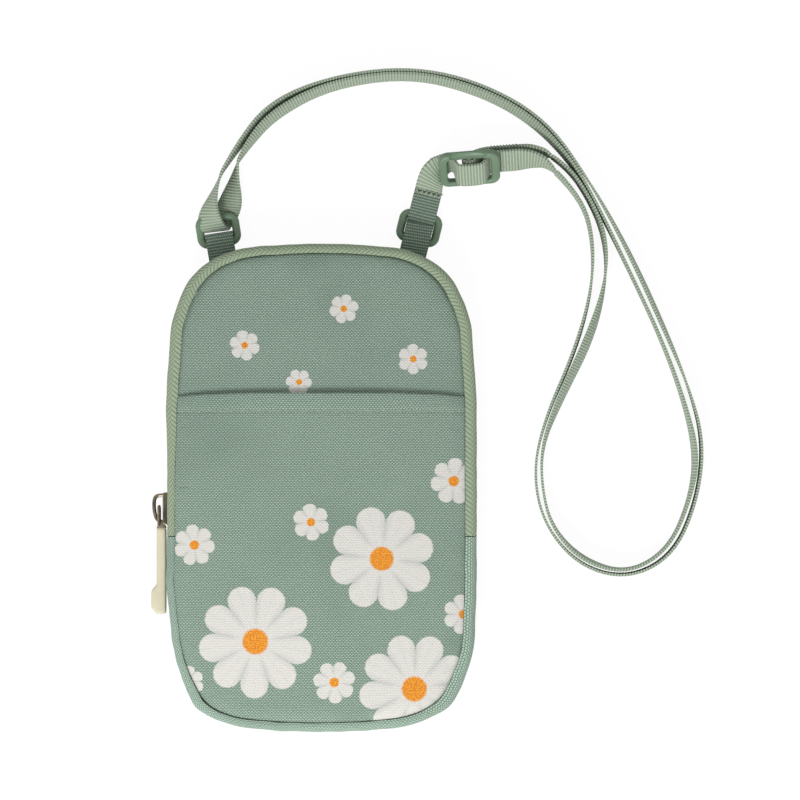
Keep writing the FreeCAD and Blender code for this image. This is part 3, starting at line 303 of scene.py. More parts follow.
def ramp(tree, value, low, high):
    node = tree.nodes.new("ShaderNodeMapRange")
    node.interpolation_type = "SMOOTHSTEP"
    setInputs(node, {"From Min": low, "From Max": high})
    tree.links.new(value, node.inputs["Value"])
    return node.outputs["Result"]


def relief(tree, shader, height, depth):
    node = tree.nodes.new("ShaderNodeBump")
    setInputs(node, {"Strength": 1.0, "Distance": depth * 0.001})
    tree.links.new(height, node.inputs["Height"])
    tree.links.new(node.outputs["Normal"], shader.inputs["Normal"])


def paint(tree, shader, color):
    tree.links.new(color, shader.inputs["Base Color"])


def weaveDots(tree, along, across, pitchAlong, pitchAcross):
    # raised yarn crossings in staggered rows
    row = calc(tree, "DIVIDE", across, pitchAcross)
    shift = times(tree, calc(tree, "MODULO", calc(tree, "FLOOR", row), 2.0), 0.5)
    column = plus(tree, calc(tree, "DIVIDE", along, pitchAlong), shift)
    return times(tree, humps(tree, times(tree, column, math.pi)), humps(tree, times(tree, row, math.pi)))


green = {"flat": (0.195, 0.319, 0.266), "dark": (0.075, 0.120, 0.092), "light": (0.325, 0.420, 0.345),
         "rough": 0.78, "pitch": (1.2, 0.62), "depth": 0.16, "wander": 0.5, "dots": 0.8, "fluff": 0.45,
         "patches": 0.16, "shadow": 0.22}
clothSheen = {"Sheen Weight": 0.12, "Sheen Roughness": 0.5, "Specular IOR Level": 0.25}
tapeSheen = {"Sheen Weight": 0.1, "Specular IOR Level": 0.3}


def makeCloth(name, printed=None, lift=1.0):
    finish, tree, shader = newFinish(name, green["flat"], green["rough"])
    # lift scales the weave's colours; above one it paints light onto a lighter copy of the same cloth
    dark = tint(green["dark"], lift)
    light = tint(green["light"], lift)
    vector, along, across = clothMap(tree)
    wander = times(tree, minus(tree, cloud(tree, vector, 0.35), 0.5), green["wander"])
    dots = weaveDots(tree, plus(tree, along, wander), plus(tree, across, wander), *green["pitch"])
    fluff = times(tree, cloud(tree, vector, 1.4, 3.0), green["fluff"])
    yarn = plus(tree, times(tree, dots, green["dots"]), fluff)
    color = blendColor(tree, ramp(tree, yarn, 0.15, 1.05), dark, light)
    # wide paler patches, then a few soft darker ones: painted shadows
    color = blendColor(tree, times(tree, cloud(tree, vector, 0.05, 3.0), green["patches"]), color, light)
    shadow = ramp(tree, cloud(tree, vector, 0.022), 0.45, 0.75)
    color = blendColor(tree, times(tree, shadow, green["shadow"]), color, dark)
    relief(tree, shader, yarn, green["depth"])
    setInputs(shader, clothSheen)
    if printed:
        color = printed(tree, vector, along, across, dots, color)
    paint(tree, shader, color)
    return finish


# blossoms: x, y, radius, petals, turn
blossoms = [
    (-24.0, -56.5, 21.0, 9, 0.2), (22.5, -26.0, 19.5, 8, 0.5), (34.5, -74.0, 20.5, 9, 0.9),
    (49.0, 2.5, 8.6, 7, 0.3), (-46.5, -21.0, 7.6, 7, 0.1), (5.0, -71.5, 7.8, 7, 0.6),
    (-3.5, -12.5, 6.8, 6, 0.4), (52.5, -46.5, 7.4, 7, 0.0), (-28.0, 52.5, 5.6, 6, 0.3),
    (8.5, 66.0, 5.4, 6, 0.8), (34.0, 47.5, 5.6, 6, 0.5), (-50.5, 73.0, 5.0, 6, 0.2),
    (-8.0, 39.0, 4.8, 6, 0.1), (-49.0, -71.5, 6.0, 7, 0.4),
]
blossomParts = ("centreX", "centreY", "radius", "petals", "turn")
inks = {"petal": (0.605, 0.585, 0.550), "fold": (0.455, 0.460, 0.435), "heart": (0.800, 0.315, 0.006),
        "heartDeep": (0.540, 0.150, 0.003), "grain": 0.25, "cover": 0.81, "bleed": 1.1}


def blossomGroup():
    group = bpy.data.node_groups.new("blossom", "ShaderNodeTree")
    for name in ("along", "across") + blossomParts:
        group.interface.new_socket(name=name, in_out="INPUT", socket_type="NodeSocketFloat")
    for name in ("petal", "fold", "heart"):
        group.interface.new_socket(name=name, in_out="OUTPUT", socket_type="NodeSocketFloat")
    entry = group.nodes.new("NodeGroupInput").outputs
    leave = group.nodes.new("NodeGroupOutput").inputs
    x = minus(group, entry["along"], entry["centreX"])
    y = minus(group, entry["across"], entry["centreY"])
    reach = calc(group, "SQRT", plus(group, times(group, x, x), times(group, y, y)))
    share = calc(group, "DIVIDE", reach, entry["radius"])
    angle = plus(group, calc(group, "ARCTAN2", y, x), entry["turn"])
    half = times(group, times(group, angle, entry["petals"]), 0.5)
    # rounded petal tips, darker gaps between the petals and two fine veins on each
    swell = calc(group, "POWER", calc(group, "ABSOLUTE", calc(group, "COSINE", half)), 0.45)
    edge = plus(group, times(group, swell, 0.34), 0.66)
    group.links.new(ramp(group, minus(group, edge, share), -0.012, 0.02), leave["petal"])
    gaps = minus(group, 1.0, ramp(group, swell, 0.25, 0.85))
    veins = minus(group, 1.0, ramp(group, humps(group, times(group, half, 3.0)), 0.0, 0.35))
    crease = plus(group, times(group, gaps, 0.8), times(group, veins, 0.28))
    group.links.new(times(group, crease, ramp(group, share, 0.18, 0.5)), leave["fold"])
    group.links.new(minus(group, 1.0, ramp(group, share, 0.20, 0.25)), leave["heart"])
    return group


blossom = blossomGroup()


def printBlossoms(tree, vector, along, across, dots, color):
    grain = plus(tree, times(tree, dots, inks["grain"]), inks["cover"])
    bleed = times(tree, minus(tree, cloud(tree, vector, 0.9), 0.5), inks["bleed"])
    wideAlong = plus(tree, along, bleed)
    for flower in blossoms:
        node = tree.nodes.new("ShaderNodeGroup")
        node.node_tree = blossom
        tree.links.new(wideAlong, node.inputs["along"])
        tree.links.new(across, node.inputs["across"])
        setInputs(node, dict(zip(blossomParts, flower)))
        white = blendColor(tree, node.outputs["fold"], inks["petal"], inks["fold"])
        speckle = ramp(tree, cloud(tree, vector, 1.6), 0.35, 0.65)
        heart = blendColor(tree, speckle, inks["heartDeep"], inks["heart"])
        ink = blendColor(tree, node.outputs["heart"], white, heart)
        color = blendColor(tree, times(tree, node.outputs["petal"], grain), color, ink)
    return color


herringbone = {"flat": (0.23, 0.30, 0.19), "dark": (0.158, 0.212, 0.138), "light": (0.286, 0.350, 0.240),
               "rough": 0.8, "stripe": 1.6, "lean": 1.25, "rib": 1.8, "depth": 0.18}


def makeTape(name):
    finish, tree, shader = newFinish(name, herringbone["flat"], herringbone["rough"])
    vector, along, across = clothMap(tree)
    # slanting ribs whose lean changes from one narrow stripe to the next
    stripe = calc(tree, "MODULO",
                  calc(tree, "FLOOR", calc(tree, "DIVIDE", across, herringbone["stripe"])), 2.0)
    lean = minus(tree, times(tree, stripe, 2.0), 1.0)
    slant = plus(tree, along, times(tree, times(tree, across, lean), herringbone["lean"]))
    rib = humps(tree, times(tree, slant, math.pi / herringbone["rib"]))
    rib = plus(tree, times(tree, rib, 0.9), times(tree, cloud(tree, vector, 1.5, 3.0), 0.35))
    color = blendColor(tree, ramp(tree, rib, 0.15, 1.15), herringbone["dark"], herringbone["light"])
    paint(tree, shader, color)
    relief(tree, shader, rib, herringbone["depth"])
    setInputs(shader, tapeSheen)
    return finish


web = {"wide": 10.0, "thick": 1.05, "across": 6, "rib": 1.1, "rows": 4, "valley": 0.8, "scallop": 0.014,
       "float": 0.85, "slant": 1.1, "selvedge": (4.2, 4.9)}


def makeWebbing(name, dark, light, bricks):
    # ribs run straight across; bricks break them into the short floats of the webbing's other side
    finish, tree, shader = newFinish(name, light, 0.78)
    vector, along, across = clothMap(tree)
    crest = humps(tree, times(tree, along, math.pi / web["rib"]))
    column = humps(tree, plus(tree, times(tree, across, math.pi / web["float"]),
                              times(tree, along, web["slant"])))
    floats = plus(tree, times(tree, column, bricks), 1.0 - bricks)
    weave = times(tree, calc(tree, "POWER", crest, 2.0), floats)
    weave = plus(tree, times(tree, weave, 0.85), times(tree, cloud(tree, vector, 1.2, 3.0), 0.3))
    color = blendColor(tree, ramp(tree, weave, 0.12, 1.05), dark, light)
    fromMiddle = calc(tree, "ABSOLUTE", minus(tree, across, web["wide"] / 2))
    selvedge = times(tree, ramp(tree, fromMiddle, *web["selvedge"]), minus(tree, 1.0, crest))
    color = blendColor(tree, times(tree, selvedge, 0.6), color, tint(dark, 0.5))
    paint(tree, shader, color)
    relief(tree, shader, weave, 0.2)
    setInputs(shader, tapeSheen)
    return finish


def makeLining(name):
    finish, tree, shader = newFinish(name, (0.30, 0.38, 0.33), 0.7)
    vector, along, across = clothMap(tree)
    dots = weaveDots(tree, along, across, 0.6, 0.3)
    paint(tree, shader, blendColor(tree, dots, (0.20, 0.27, 0.235), (0.33, 0.42, 0.37)))
    relief(tree, shader, plus(tree, dots, cloud(tree, vector, 0.08, 3.0)), 0.08)
    return finish


def makePlastic(name, color, rough):
    finish, tree, shader = newFinish(name, color, rough)
    source = solidMap(tree)
    fine = cloud(tree, source, 900.0, 3.0)
    wide = cloud(tree, source, 108.0)
    pale = tuple(min(1.0, channel * 1.18 + 0.01) for channel in color)
    paint(tree, shader, blendColor(tree, wide, tint(color, 0.86), pale))
    tree.links.new(plus(tree, times(tree, fine, 0.16), rough - 0.08), shader.inputs["Roughness"])
    relief(tree, shader, fine, 0.03)
    return finish


def makeMetal(name):
    finish, tree, shader = newFinish(name, (0.24, 0.205, 0.165), 0.25)
    shader.inputs["Metallic"].default_value = 1.0
    wearAndPaintedGlint = cloud(tree, solidMap(tree), 260.0, 3.0)
    # the paler speckles are painted highlights as well as rubbed metal; the same cloud also varies
    # roughness and bump
    paint(tree, shader, blendColor(tree, ramp(tree, wearAndPaintedGlint, 0.34, 0.72), (0.165, 0.134, 0.099),
                                   (0.330, 0.282, 0.212)))
    tree.links.new(plus(tree, times(tree, wearAndPaintedGlint, 0.14), 0.10), shader.inputs["Roughness"])
    relief(tree, shader, wearAndPaintedGlint, 0.02)
    return finish


def makeThread(name, color):
    finish, tree, shader = newFinish(name, color, 0.7)
    twist = tree.nodes.new("ShaderNodeTexWave")
    twist.inputs["Scale"].default_value = 900
    twist.bands_direction = "DIAGONAL"
    tree.links.new(solidMap(tree), twist.inputs["Vector"])
    paint(tree, shader, blendColor(tree, twist.outputs["Fac"], tint(color, 0.7), color))
    relief(tree, shader, twist.outputs["Fac"], 0.04)
    return finish


clothPlain = makeCloth("greenWeave")
# the same weave painted a fifth lighter for the band: painted light on its lower roll
clothBandPaintedLight = makeCloth("greenWeaveBandPaintedLight", lift=1.2)
clothPrint = makeCloth("greenWeavePrinted", printBlossoms)
tapeFinish = makeTape("zipTape")
liningFinish = makeLining("liningWeave")
webLight = makeWebbing("webbingPale", (0.225, 0.290, 0.215), (0.390, 0.455, 0.345), 0.2)
# the darker copy is painted shade as well as the webbing's other side with its brick floats
webOtherSidePaintedShade = makeWebbing("webbingShade", (0.092, 0.132, 0.101), (0.288, 0.375, 0.294), 0.75)
bindingFinish = makeWebbing("bindingTape", (0.10, 0.15, 0.13), (0.19, 0.27, 0.23), 0.3)
coilFinish = makePlastic("coilNylon", (0.22, 0.30, 0.20), 0.42)
ringFinish = makePlastic("ringPlastic", (0.124, 0.196, 0.121), 0.42)
pullFinish = makePlastic("pullCream", (0.535, 0.495, 0.362), 0.5)
# the neck is the pull's plastic darkened: painted shade on its tapered chamfer
neckPaintedShade = makePlastic("pullNeckShaded", (0.300, 0.265, 0.185), 0.5)
metalFinish = makeMetal("darkNickel")
paleThread = makeThread("paleThread", (0.44, 0.50, 0.39))
hemThread = makeThread("hemThread", (0.33, 0.40, 0.31))
greyThread = makeThread("greyThread", (0.10, 0.14, 0.115))
print("finishes ready")


# front and back panels: one padded sheet each, laid from a middle line out to the seam
pads = {"edge": 3.4, "rings": 26, "around": 264, "middle": 62.0, "roundWide": 6.0, "roundDrop": 1.7,
        "thick": 3.0, "backWide": 4.0, "backDrop": 1.4, "backThick": 3.1, "pucker": 0.40}


def crownAt(x, y, lift=0.0):
    return pouch["crownTop"] + lift - x * x / (2 * pouch["crownAcross"]) - y * y / (2 * pouch["crownAlong"])


def ringSpot(u, w, edge):
    rim, out = loopPoint(u * 2 * halfRun)
    rim = drawIn(rim - out * seamInset(edge, rim, out))
    middle = Vector((0.0, max(-pads["middle"], min(pads["middle"], rim.y * 0.72))))
    share = 1 - (1 - w) ** 1.35
    spot = middle.lerp(rim, share)
    return spot, (rim - spot).length, abs(out.y)


def roundOff(inward, wide):
    # how far a rounded edge has turned down, from nothing at its inner side to one at the seam
    turn = 1 - inward / wide
    return 1 - math.sqrt(max(0.0, 1 - turn * turn))


def frontPlace(lift, drop):
    wide = pads["roundWide"]

    def place(u, w):
        spot, inward, toEnds = ringSpot(u, w, pads["edge"])
        z = crownAt(spot.x, spot.y, lift)
        if inward < wide:
            # the seam sinks deeper along the top, the bottom and the corners than along the sides
            z -= drop * (0.4 + 0.6 * toEnds) * roundOff(inward, wide)
            pucker = noise.noise(Vector((u * 150.0, 3.1, lift))) * pads["pucker"]
            z += pucker * math.sin(math.pi * min(1.0, inward / wide))
        ripple = noise.noise(Vector((spot.x * 0.028, spot.y * 0.028, 1.7))) * 0.35
        ripple += noise.noise(Vector((spot.x * 0.09, spot.y * 0.06, 5.2))) * 0.12
        # folds run down from the top seam
        ripple += noise.noise(Vector((spot.x * 0.10, spot.y * 0.02, 8.3))) * 1.1 * ease(spot.y, 40, 82)
        z += ripple * min(1.0, inward / 8.0)
        return metres(spot.x, spot.y, z), (spot.x, spot.y)
    return place


def backPlace(u, w):
    spot, inward = ringSpot(u, w, pads["edge"])[:2]
    z = pads["backDrop"] * roundOff(inward, pads["backWide"]) if inward < pads["backWide"] else 0.0
    return metres(spot.x, spot.y, z), (spot.x, spot.y)


def layPanel(name, place, outward):
    panel = layCloth(name, pads["around"], pads["rings"], place)
    closeUp(panel)
    faceUp(panel, Vector((0, 0, outward)))
    return panel


frontPad = layPanel("frontPad", frontPlace(0.0, pads["roundDrop"]), 1)
dress(frontPad, clothPrint, liningFinish)
thicken(frontPad, pads["thick"], inside=1, rim=1)
smooth(frontPad)

pocket = {"mouth": 33.7, "arch": 1.3, "archReach": 7.0, "hem": 5.5, "hemRise": 0.35, "stitchDip": 0.6,
          "thick": 0.8, "lift": 0.9, "over": 1.25, "drop": 2.6, "half": 52.0, "stitchWide": 0.75,
          "roll": 0.9, "rollDip": 0.3, "gape": 24.0}


def bisectAcross(piece, y, clear=False):
    editWhole(piece)
    bpy.ops.mesh.bisect(plane_co=(0, y * 0.001, 0), plane_no=(0, 1, 0), clear_outer=clear)
    leaveEdit()


def mouthArch(x):
    return pocket["arch"] * (1 - (x / pocket["half"]) ** 4)


def fade(distance, reach):
    return max(0.0, 1 - max(0.0, distance) / reach)


frontPocket = layPanel("frontPocket", frontPlace(pocket["over"], pocket["drop"]), 1)
bisectAcross(frontPocket, pocket["mouth"], clear=True)
for hemStep in (0.35, 0.9, 2.6, 4.3, 4.9, 5.5, 6.1, 6.8):
    bisectAcross(frontPocket, pocket["mouth"] - hemStep)
for vertex in frontPocket.data.vertices:
    # the hem stands up to its row of stitches, its edge rolls in and the mouth arches and gapes
    x = vertex.co.x * 1000
    below = pocket["mouth"] - vertex.co.y * 1000
    rise = pocket["hemRise"] if below < pocket["hem"] else 0.0
    rise -= pocket["stitchDip"] * fade(abs(below - pocket["hem"]), pocket["stitchWide"])
    rise -= pocket["rollDip"] * max(0.0, 1 - below / pocket["roll"]) ** 2
    rise += pocket["lift"] * fade(below, pocket["gape"]) ** 2 * max(0.0, 1 - (x / pocket["half"]) ** 2)
    vertex.co.y += mouthArch(x) * fade(below, pocket["archReach"]) * 0.001
    vertex.co.z += rise * 0.001
dress(frontPocket, clothPrint, clothPlain)
thicken(frontPocket, pocket["thick"], inside=1, rim=0)
smooth(frontPocket)

backPad = layPanel("backPad", backPlace, -1)
dress(backPad, clothPlain, liningFinish)
thicken(backPad, pads["backThick"], inside=1, rim=1)
smooth(backPad)

# the front folds over a short stretch just above the parked slider
frontNodes = ("front_panel_upper", "front_panel_lower", "front_foam_upper", "front_foam_lower",
              "front_lining_upper", "front_lining_lower")
pocketNodes = ("pocket_panel_upper", "pocket_panel_lower")
for cover, replaced in ((frontPad, frontNodes), (frontPocket, pocketNodes)):
    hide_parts(*replaced)
    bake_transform(cover)
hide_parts("back_panel", "back_foam", "back_lining")
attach(backPad, "pouch")
print("panels ready")


# side band: swept sections, each a list of (inset from the outline, level)
band = {"tape": 0.7, "seat": 1.4, "gap": 1.4, "cloth": 0.9, "binding": 0.35, "step": 1.7, "arc": 112,
        "puff": 0.25, "gussetPuff": 0.3}
# where every section runs down into the seam: inset past the seam line, depth below the face
seamFoot = ((0.25, 0.75), (0.32, 1.8))


def rollArc(hubInset, hubLevel, radius, start, end, count):
    arc = []
    for index in range(count + 1):
        angle = math.radians(start + (end - start) * index / count)
        arc.append((hubInset - radius * math.cos(angle), hubLevel + radius * math.sin(angle)))
    return arc


def seamEnd():
    return [(pouch["seam"] + inset, pouch["depth"] - drop) for inset, drop in seamFoot]


def turnedDown(section):
    return [(inset, pouch["depth"] - level) for inset, level in section]


def tapeSection(front):
    # from the coil's seat out over the roll and down into the seam
    roll = pouch["roll"]
    fall = math.degrees(math.acos((roll - band["seat"]) / roll))
    top = rollArc(roll, pouch["depth"] - roll, roll, -fall, band["arc"], 16)
    foot = pouch["depth"] / 2 + band["gap"] / 2
    line = [(band["seat"], foot + rise) for rise in (0.0, 1.2, 2.6)] + top + seamEnd()
    return line if front else turnedDown(line)


def gussetSection():
    roll = pouch["roll"]
    low = rollArc(roll, roll, roll, -band["arc"], 0, 12)
    high = rollArc(roll, pouch["depth"] - roll, roll, 0, band["arc"], 12)
    start = [(pouch["seam"] + inset, drop) for inset, drop in reversed(seamFoot)]
    middle = [(0.0, level) for level in (6.0, 8.3, 10.5, 12.7, 15.0)]
    return start + low + middle + high + seamEnd()


def sweepBand(name, section, start, end, lower=False, puff=0.0):
    # carries a section along the outline between two distances of its upper half, or of the lower half
    lengths = [0.0]
    for first, second in zip(section, section[1:]):
        lengths.append(lengths[-1] + math.dist(first, second))
    last = len(section) - 1

    def place(u, w):
        run = start + (end - start) * u
        rim, out = rimPoint(run)
        if lower:
            rim, out = -rim, -out
        inset, level = section[round(w * last)]
        wave = puff * noise.noise(Vector((run * 0.16, level * 0.10, 2.0 + lower)))
        spot = drawIn(rim - out * (seamInset(inset, rim, out) - wave))
        return metres(spot.x, spot.y, level), (run, lengths[round(w * last)])

    return layCloth(name, max(8, int((end - start) / band["step"])), last, place)


def finishBand(cloth, thick, finish, inner, body, replaced):
    # outward faces first, then the cloth's thickness inwards
    total = 0.0
    for face in cloth.data.polygons:
        away = Vector((face.center.x, face.center.y * 0.5, 0))
        total += face.normal.dot(away) * face.area
    if total < 0:
        turnOver(cloth)
    dress(cloth, finish, inner)
    thicken(cloth, thick, inside=1, rim=0)
    smooth(cloth)
    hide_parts(*replaced)
    if body == "front_flap":
        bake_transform(cloth)
    else:
        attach(cloth, body)


lowLine = -pouch["zipEnd"] + 0.1
flapLow = pouch["flapLine"] - 0.01
flapHigh = pouch["flapLine"] + 0.01
zipHigh = halfRun - lowLine
puff = band["puff"]
tapeBack = sweepBand("tapeBack", tapeSection(False), lowLine, zipHigh, puff=puff)
finishBand(tapeBack, band["tape"], tapeFinish, tapeFinish, "pouch", ("zip_tape_back",))
for tapeName, start, end, replaced in (
        ("tapeFront", flapHigh, halfRun - flapHigh, "zip_tape_front"),
        ("tapeEndLeft", lowLine, flapLow, "zip_tape_front_ends"),
        ("tapeEndRight", halfRun - flapLow, zipHigh, "zip_tape_front_ends")):
    tape = sweepBand(tapeName, tapeSection(True), start, end, puff=puff)
    finishBand(tape, band["tape"], tapeFinish, tapeFinish, "front_flap", (replaced,))
gussetLow = pouch["zipEnd"] + 0.2
# the gusset takes the weave painted lighter, painted light where its roll faces the lamp
gusset = sweepBand("gusset", gussetSection(), gussetLow, halfRun - gussetLow, lower=True,
                   puff=band["gussetPuff"])
finishBand(gusset, band["cloth"], clothBandPaintedLight, liningFinish, "pouch",
           ("gusset_strip", "gusset_lining"))


def bindingSection(low, high):
    # a tape folded over the seam allowance
    near = pouch["seam"] + 0.75
    far = near + 1.6
    halfway = (low + high) / 2
    outer = [(near, low), (near, halfway), (near, high - 0.5), (near + 0.4, high)]
    inner = [(far - 0.4, high), (far, high - 0.5), (far, halfway), (far, low)]
    return outer + [((near + far) / 2, high + 0.1)] + inner


backSection = bindingSection(2.6, 5.1)
frontSection = [(inset, pouch["depth"] - 1.2 - level) for inset, level in bindingSection(1.6, 4.9)]
for tapeName, section, start, end, lower, body, replaced in (
        ("backBindingUpper", backSection, 0, halfRun, False, "pouch", "back_binding"),
        ("backBindingLower", backSection, 0, halfRun, True, "pouch", "back_binding"),
        ("frontBindingUpper", frontSection, flapHigh, halfRun - flapHigh, False, "front_flap",
         "front_binding_upper"),
        ("frontBindingLower", frontSection, -flapLow, halfRun + flapLow, True, "front_flap",
         "front_binding_lower")):
    binding = sweepBand(tapeName, section, start, end, lower=lower)
    finishBand(binding, band["binding"], bindingFinish, bindingFinish, body, (replaced,))
print("band ready")


def smoothCurve(name, points, resolution):
    # a smooth curve through control points in metres
    curve = bpy.data.curves.new(name, "CURVE")
    curve.dimensions = "3D"
    spline = curve.splines.new("NURBS")
    spline.points.add(len(points) - 1)
    for point, control in zip(points, spline.points):
        control.co = (*point, 1)
    spline.order_u = 3
    spline.use_endpoint_u = True
    spline.resolution_u = resolution
    holder = bpy.data.objects.new(name, curve)
    bpy.context.collection.objects.link(holder)
    return holder


def routeLine(points):
    # the points of a smooth line along the route
    holder = smoothCurve("route", points, 6)
    curve = holder.data
    line = bpy.data.meshes.new_from_object(holder)
    spots = [vertex.co.copy() for vertex in line.vertices]
    bpy.data.objects.remove(holder)
    bpy.data.curves.remove(curve)
    bpy.data.meshes.remove(line)
    return spots


def wireLine(name, points, thick, finish, facets, resolution=6):
    # a round wire along a smooth line through control points in millimetres
    clearSelection()
    wire = smoothCurve(name, [metres(*point) for point in points], resolution)
    wire.data.bevel_depth = thick * 0.001
    wire.data.bevel_resolution = facets
    wire.data.use_fill_caps = True
    pick(wire)
    bpy.ops.object.convert(target="MESH")
    wire = bpy.context.object
    dress(wire, finish)
    smooth(wire, 60)
    return wire


up = Vector((0, 0, 1))


def ribbon(name, rows, finish, other=None):
    # rows: centre and sideways direction at each control point; both edges are smooth lines
    edges = []
    for reach in (web["wide"] / 2, -web["wide"] / 2):
        corners = [Vector(spot) + Vector(side).normalized() * reach for spot, side in rows]
        edges.append(routeLine([metres(*corner) for corner in corners]))
    middle = [(one + two) / 2 for one, two in zip(*edges)]
    runs = [0.0]
    for one, two in zip(middle, middle[1:]):
        runs.append(runs[-1] + (two - one).length * 1000)
    ribs = max(2, round(runs[-1] / web["rib"]))
    crests = []

    def place(u, w):
        # ribs stand out on both faces and scallop the edges
        here = u * runs[-1]
        index = max(0, min(len(runs) - 2, bisect.bisect_right(runs, here) - 1))
        part = (here - runs[index]) / (runs[index + 1] - runs[index])
        one, two = [edge[index].lerp(edge[index + 1], part) for edge in edges]
        crest = 0.5 - 0.5 * math.cos(2 * math.pi * u * ribs)
        crests.append(crest)
        wider = (w - 0.5) * (1 + web["scallop"] * 2 * crest) + 0.5
        return one.lerp(two, wider), (u * ribs * web["rib"], w * web["wide"])

    strip = layCloth(name, ribs * web["rows"], web["across"], place)
    dress(strip, finish, other or finish)
    swell = strip.vertex_groups.new(name="rib")
    for index, crest in enumerate(crests):
        swell.add([index], crest, "REPLACE")
    applyModifier(strip, "SOLIDIFY", thickness=web["thick"] * 0.001, offset=0.0, material_offset=1,
                  use_even_offset=True, use_quality_normals=True, vertex_group="rib",
                  thickness_vertex_group=web["valley"])
    strip.vertex_groups.clear()
    smooth(strip, 40)
    return strip, middle, runs[-1]


def sideways(heading, roll):
    # sideways direction of a strip that runs along a heading and is turned about it
    along = Vector((math.cos(math.radians(heading)), math.sin(math.radians(heading)), 0))
    left = Vector((-along.y, along.x, 0))
    return left * math.cos(math.radians(roll)) + up * math.sin(math.radians(roll))


def headingOf(first, second):
    return math.degrees(math.atan2(second[1] - first[1], second[0] - first[0]))


# strap strands, corner points on the table and how far each leans from upright there
strandOut = [
    (87.1, 116.9, -5), (96.3, 107.7, -3), (100.9, 92.5, -2), (100.5, 73.2, 3), (94.1, 50.2, 6),
    (83.2, 26, 3), (78.6, 6.5, 1), (82.2, -13.2, 1), (95.2, -28.9, 2), (113.5, -34, 1), (130.5, -25.4, 1),
    (139.4, -5, 1), (141.9, 16.8, 1), (136.5, 37.1, -2), (126.7, 60.3, -9), (114.1, 87.8, -8),
    (99, 114.8, -3), (82.6, 136.6, 5), (58.2, 149.9, 7), (32.1, 155.2, 9), (3.4, 151.3, 11),
    (-18.8, 141.9, 15), (-31.3, 126.3, 9), (-36.9, 117.1, 0),
]
strandBack = [
    (85.6, 122.7, -4), (91.8, 118.4, -5), (98.9, 107.9, -4), (105.1, 94.5, -6), (106.1, 78, 2),
    (100.2, 56.5, 18), (88.5, 32.7, 13), (81.8, 15.6, 3), (81.8, 0.2, 1), (85.4, -14.8, 3),
    (96.6, -27, 7), (113.5, -32.2, 1), (128.9, -23.2, 0), (136.8, -4.8, 1), (139.5, 12, 8),
    (134.6, 32.3, 2), (126.4, 54.6, 1), (114.1, 80.8, 0), (103.2, 103, 2), (93.2, 120.4, 6),
    (78.6, 136.4, 13), (58.8, 147.3, 13), (32.9, 153.8, 12), (3.3, 149.7, 13), (-17.7, 138.7, 16),
    (-27.8, 126.7, 10), (-30.9, 121.1, 0),
]
strapLevel = 5.3


def strandRows(route):
    rows = []
    for index, (x, y, lean) in enumerate(route):
        heading = headingOf(route[max(0, index - 1)], route[min(len(route) - 1, index + 1)])
        rows.append(((x, y, strapLevel), sideways(heading, 90 + lean)))
    return rows


def strandEnd(spot):
    return (spot[0], spot[1], strapLevel)


strapOut, lineOut, lengthOut = ribbon("strapOut", strandRows(strandOut), webLight)
strapBack, lineBack, lengthBack = ribbon("strapBack", strandRows(strandBack), webLight)
for strip, replaced in ((strapOut, "strap_strand_out"), (strapBack, "strap_strand_back")):
    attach(strip, "pouch")
    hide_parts(replaced)
print("strands", round(lengthOut), round(lengthBack))


# left ring: the strap folds round the upper bar
def ringFrame(side, offset, lean):
    angle = math.radians(lean)
    rootY = cornerY + math.sqrt(pouch["corner"] ** 2 - (offset - cornerX) ** 2)
    out = Vector((side * math.sin(angle), math.cos(angle), 0))
    return Vector((side * offset, rootY, 3.4)), out, Vector((out.y, -out.x, 0))


rings = {"tabReach": 5.0, "barStep": 9.4, "fold": 2.35, "tabFold": 2.8, "tabRoot": 6.6, "tabRise": 0.7}
leftRoot, leftOut, leftSide = ringFrame(-1, 36.8, 9)
rightRoot, rightOut, rightSide = ringFrame(1, 34.0, 14)
# the turn round a bar: how far out, how far up and how much of the slack
barTurn = ((0.6, 0.99, 0.0), (-0.55, 0.98, 0.6), (-1.02, 0.62, 0.95), (-1.12, 0.0, 1.0),
           (-1.02, -0.62, 0.95), (-0.55, -0.98, 0.6), (0.6, -0.99, 0.0))


def foldRows(bar, out, side, start, end, rise, slack, radius):
    # round a bar, in along the front and back out behind; slack lets the fold hang off the bar
    rows = [(bar + out * start + up * rise, -side)]
    for reach, high, hang in barTurn:
        rows.append((bar + out * (radius * reach - slack * hang) + up * (radius * high), -side))
    rows.append((bar + out * end - up * rise, -side))
    return rows


# the front leg comes down on edge, turns flat over the bar and leaves behind it, a little to the right
leftRows = [(strandEnd(strandOut[-1]), sideways(headingOf(strandOut[-2], strandOut[-1]), 90))]
for spot, heading, roll in (((-38.6, 112.6, 5.4), 250, 86), ((-40.2, 107.8, 5.8), 258, 74),
                            ((-41.5, 103.6, 6.2), 266, 56), ((-41.6, 100.2, 6.3), 274, 36),
                            ((-41.1, 97.6, 6.0), 280, 22), ((-40.4, 95.8, 5.1), 280, 10),
                            ((-39.5, 95.2, 3.4), 276, 2)):
    leftRows.append((spot, sideways(heading, roll)))
leftRows += [((-38.8, 95.8, 1.7), leftSide), ((-37.4, 98.0, 1.1), leftSide)]
for spot, heading, roll in (((-35.6, 101.4, 1.7), 84, -10), ((-34.0, 105.4, 3.3), 84, -30),
                            ((-33.0, 109.8, 4.6), 82, -52), ((-32.2, 114.6, 5.3), 74, -74),
                            (strandEnd(strandBack[-1]), headingOf(strandBack[-1], strandBack[-2]), -90)):
    leftRows.append((spot, -sideways(heading, roll)))
leftFold = ribbon("strapLeftFold", leftRows, webLight)[0]
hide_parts("strap_left_loop", "strap_out_twist", "strap_back_twist")
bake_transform(leftFold)

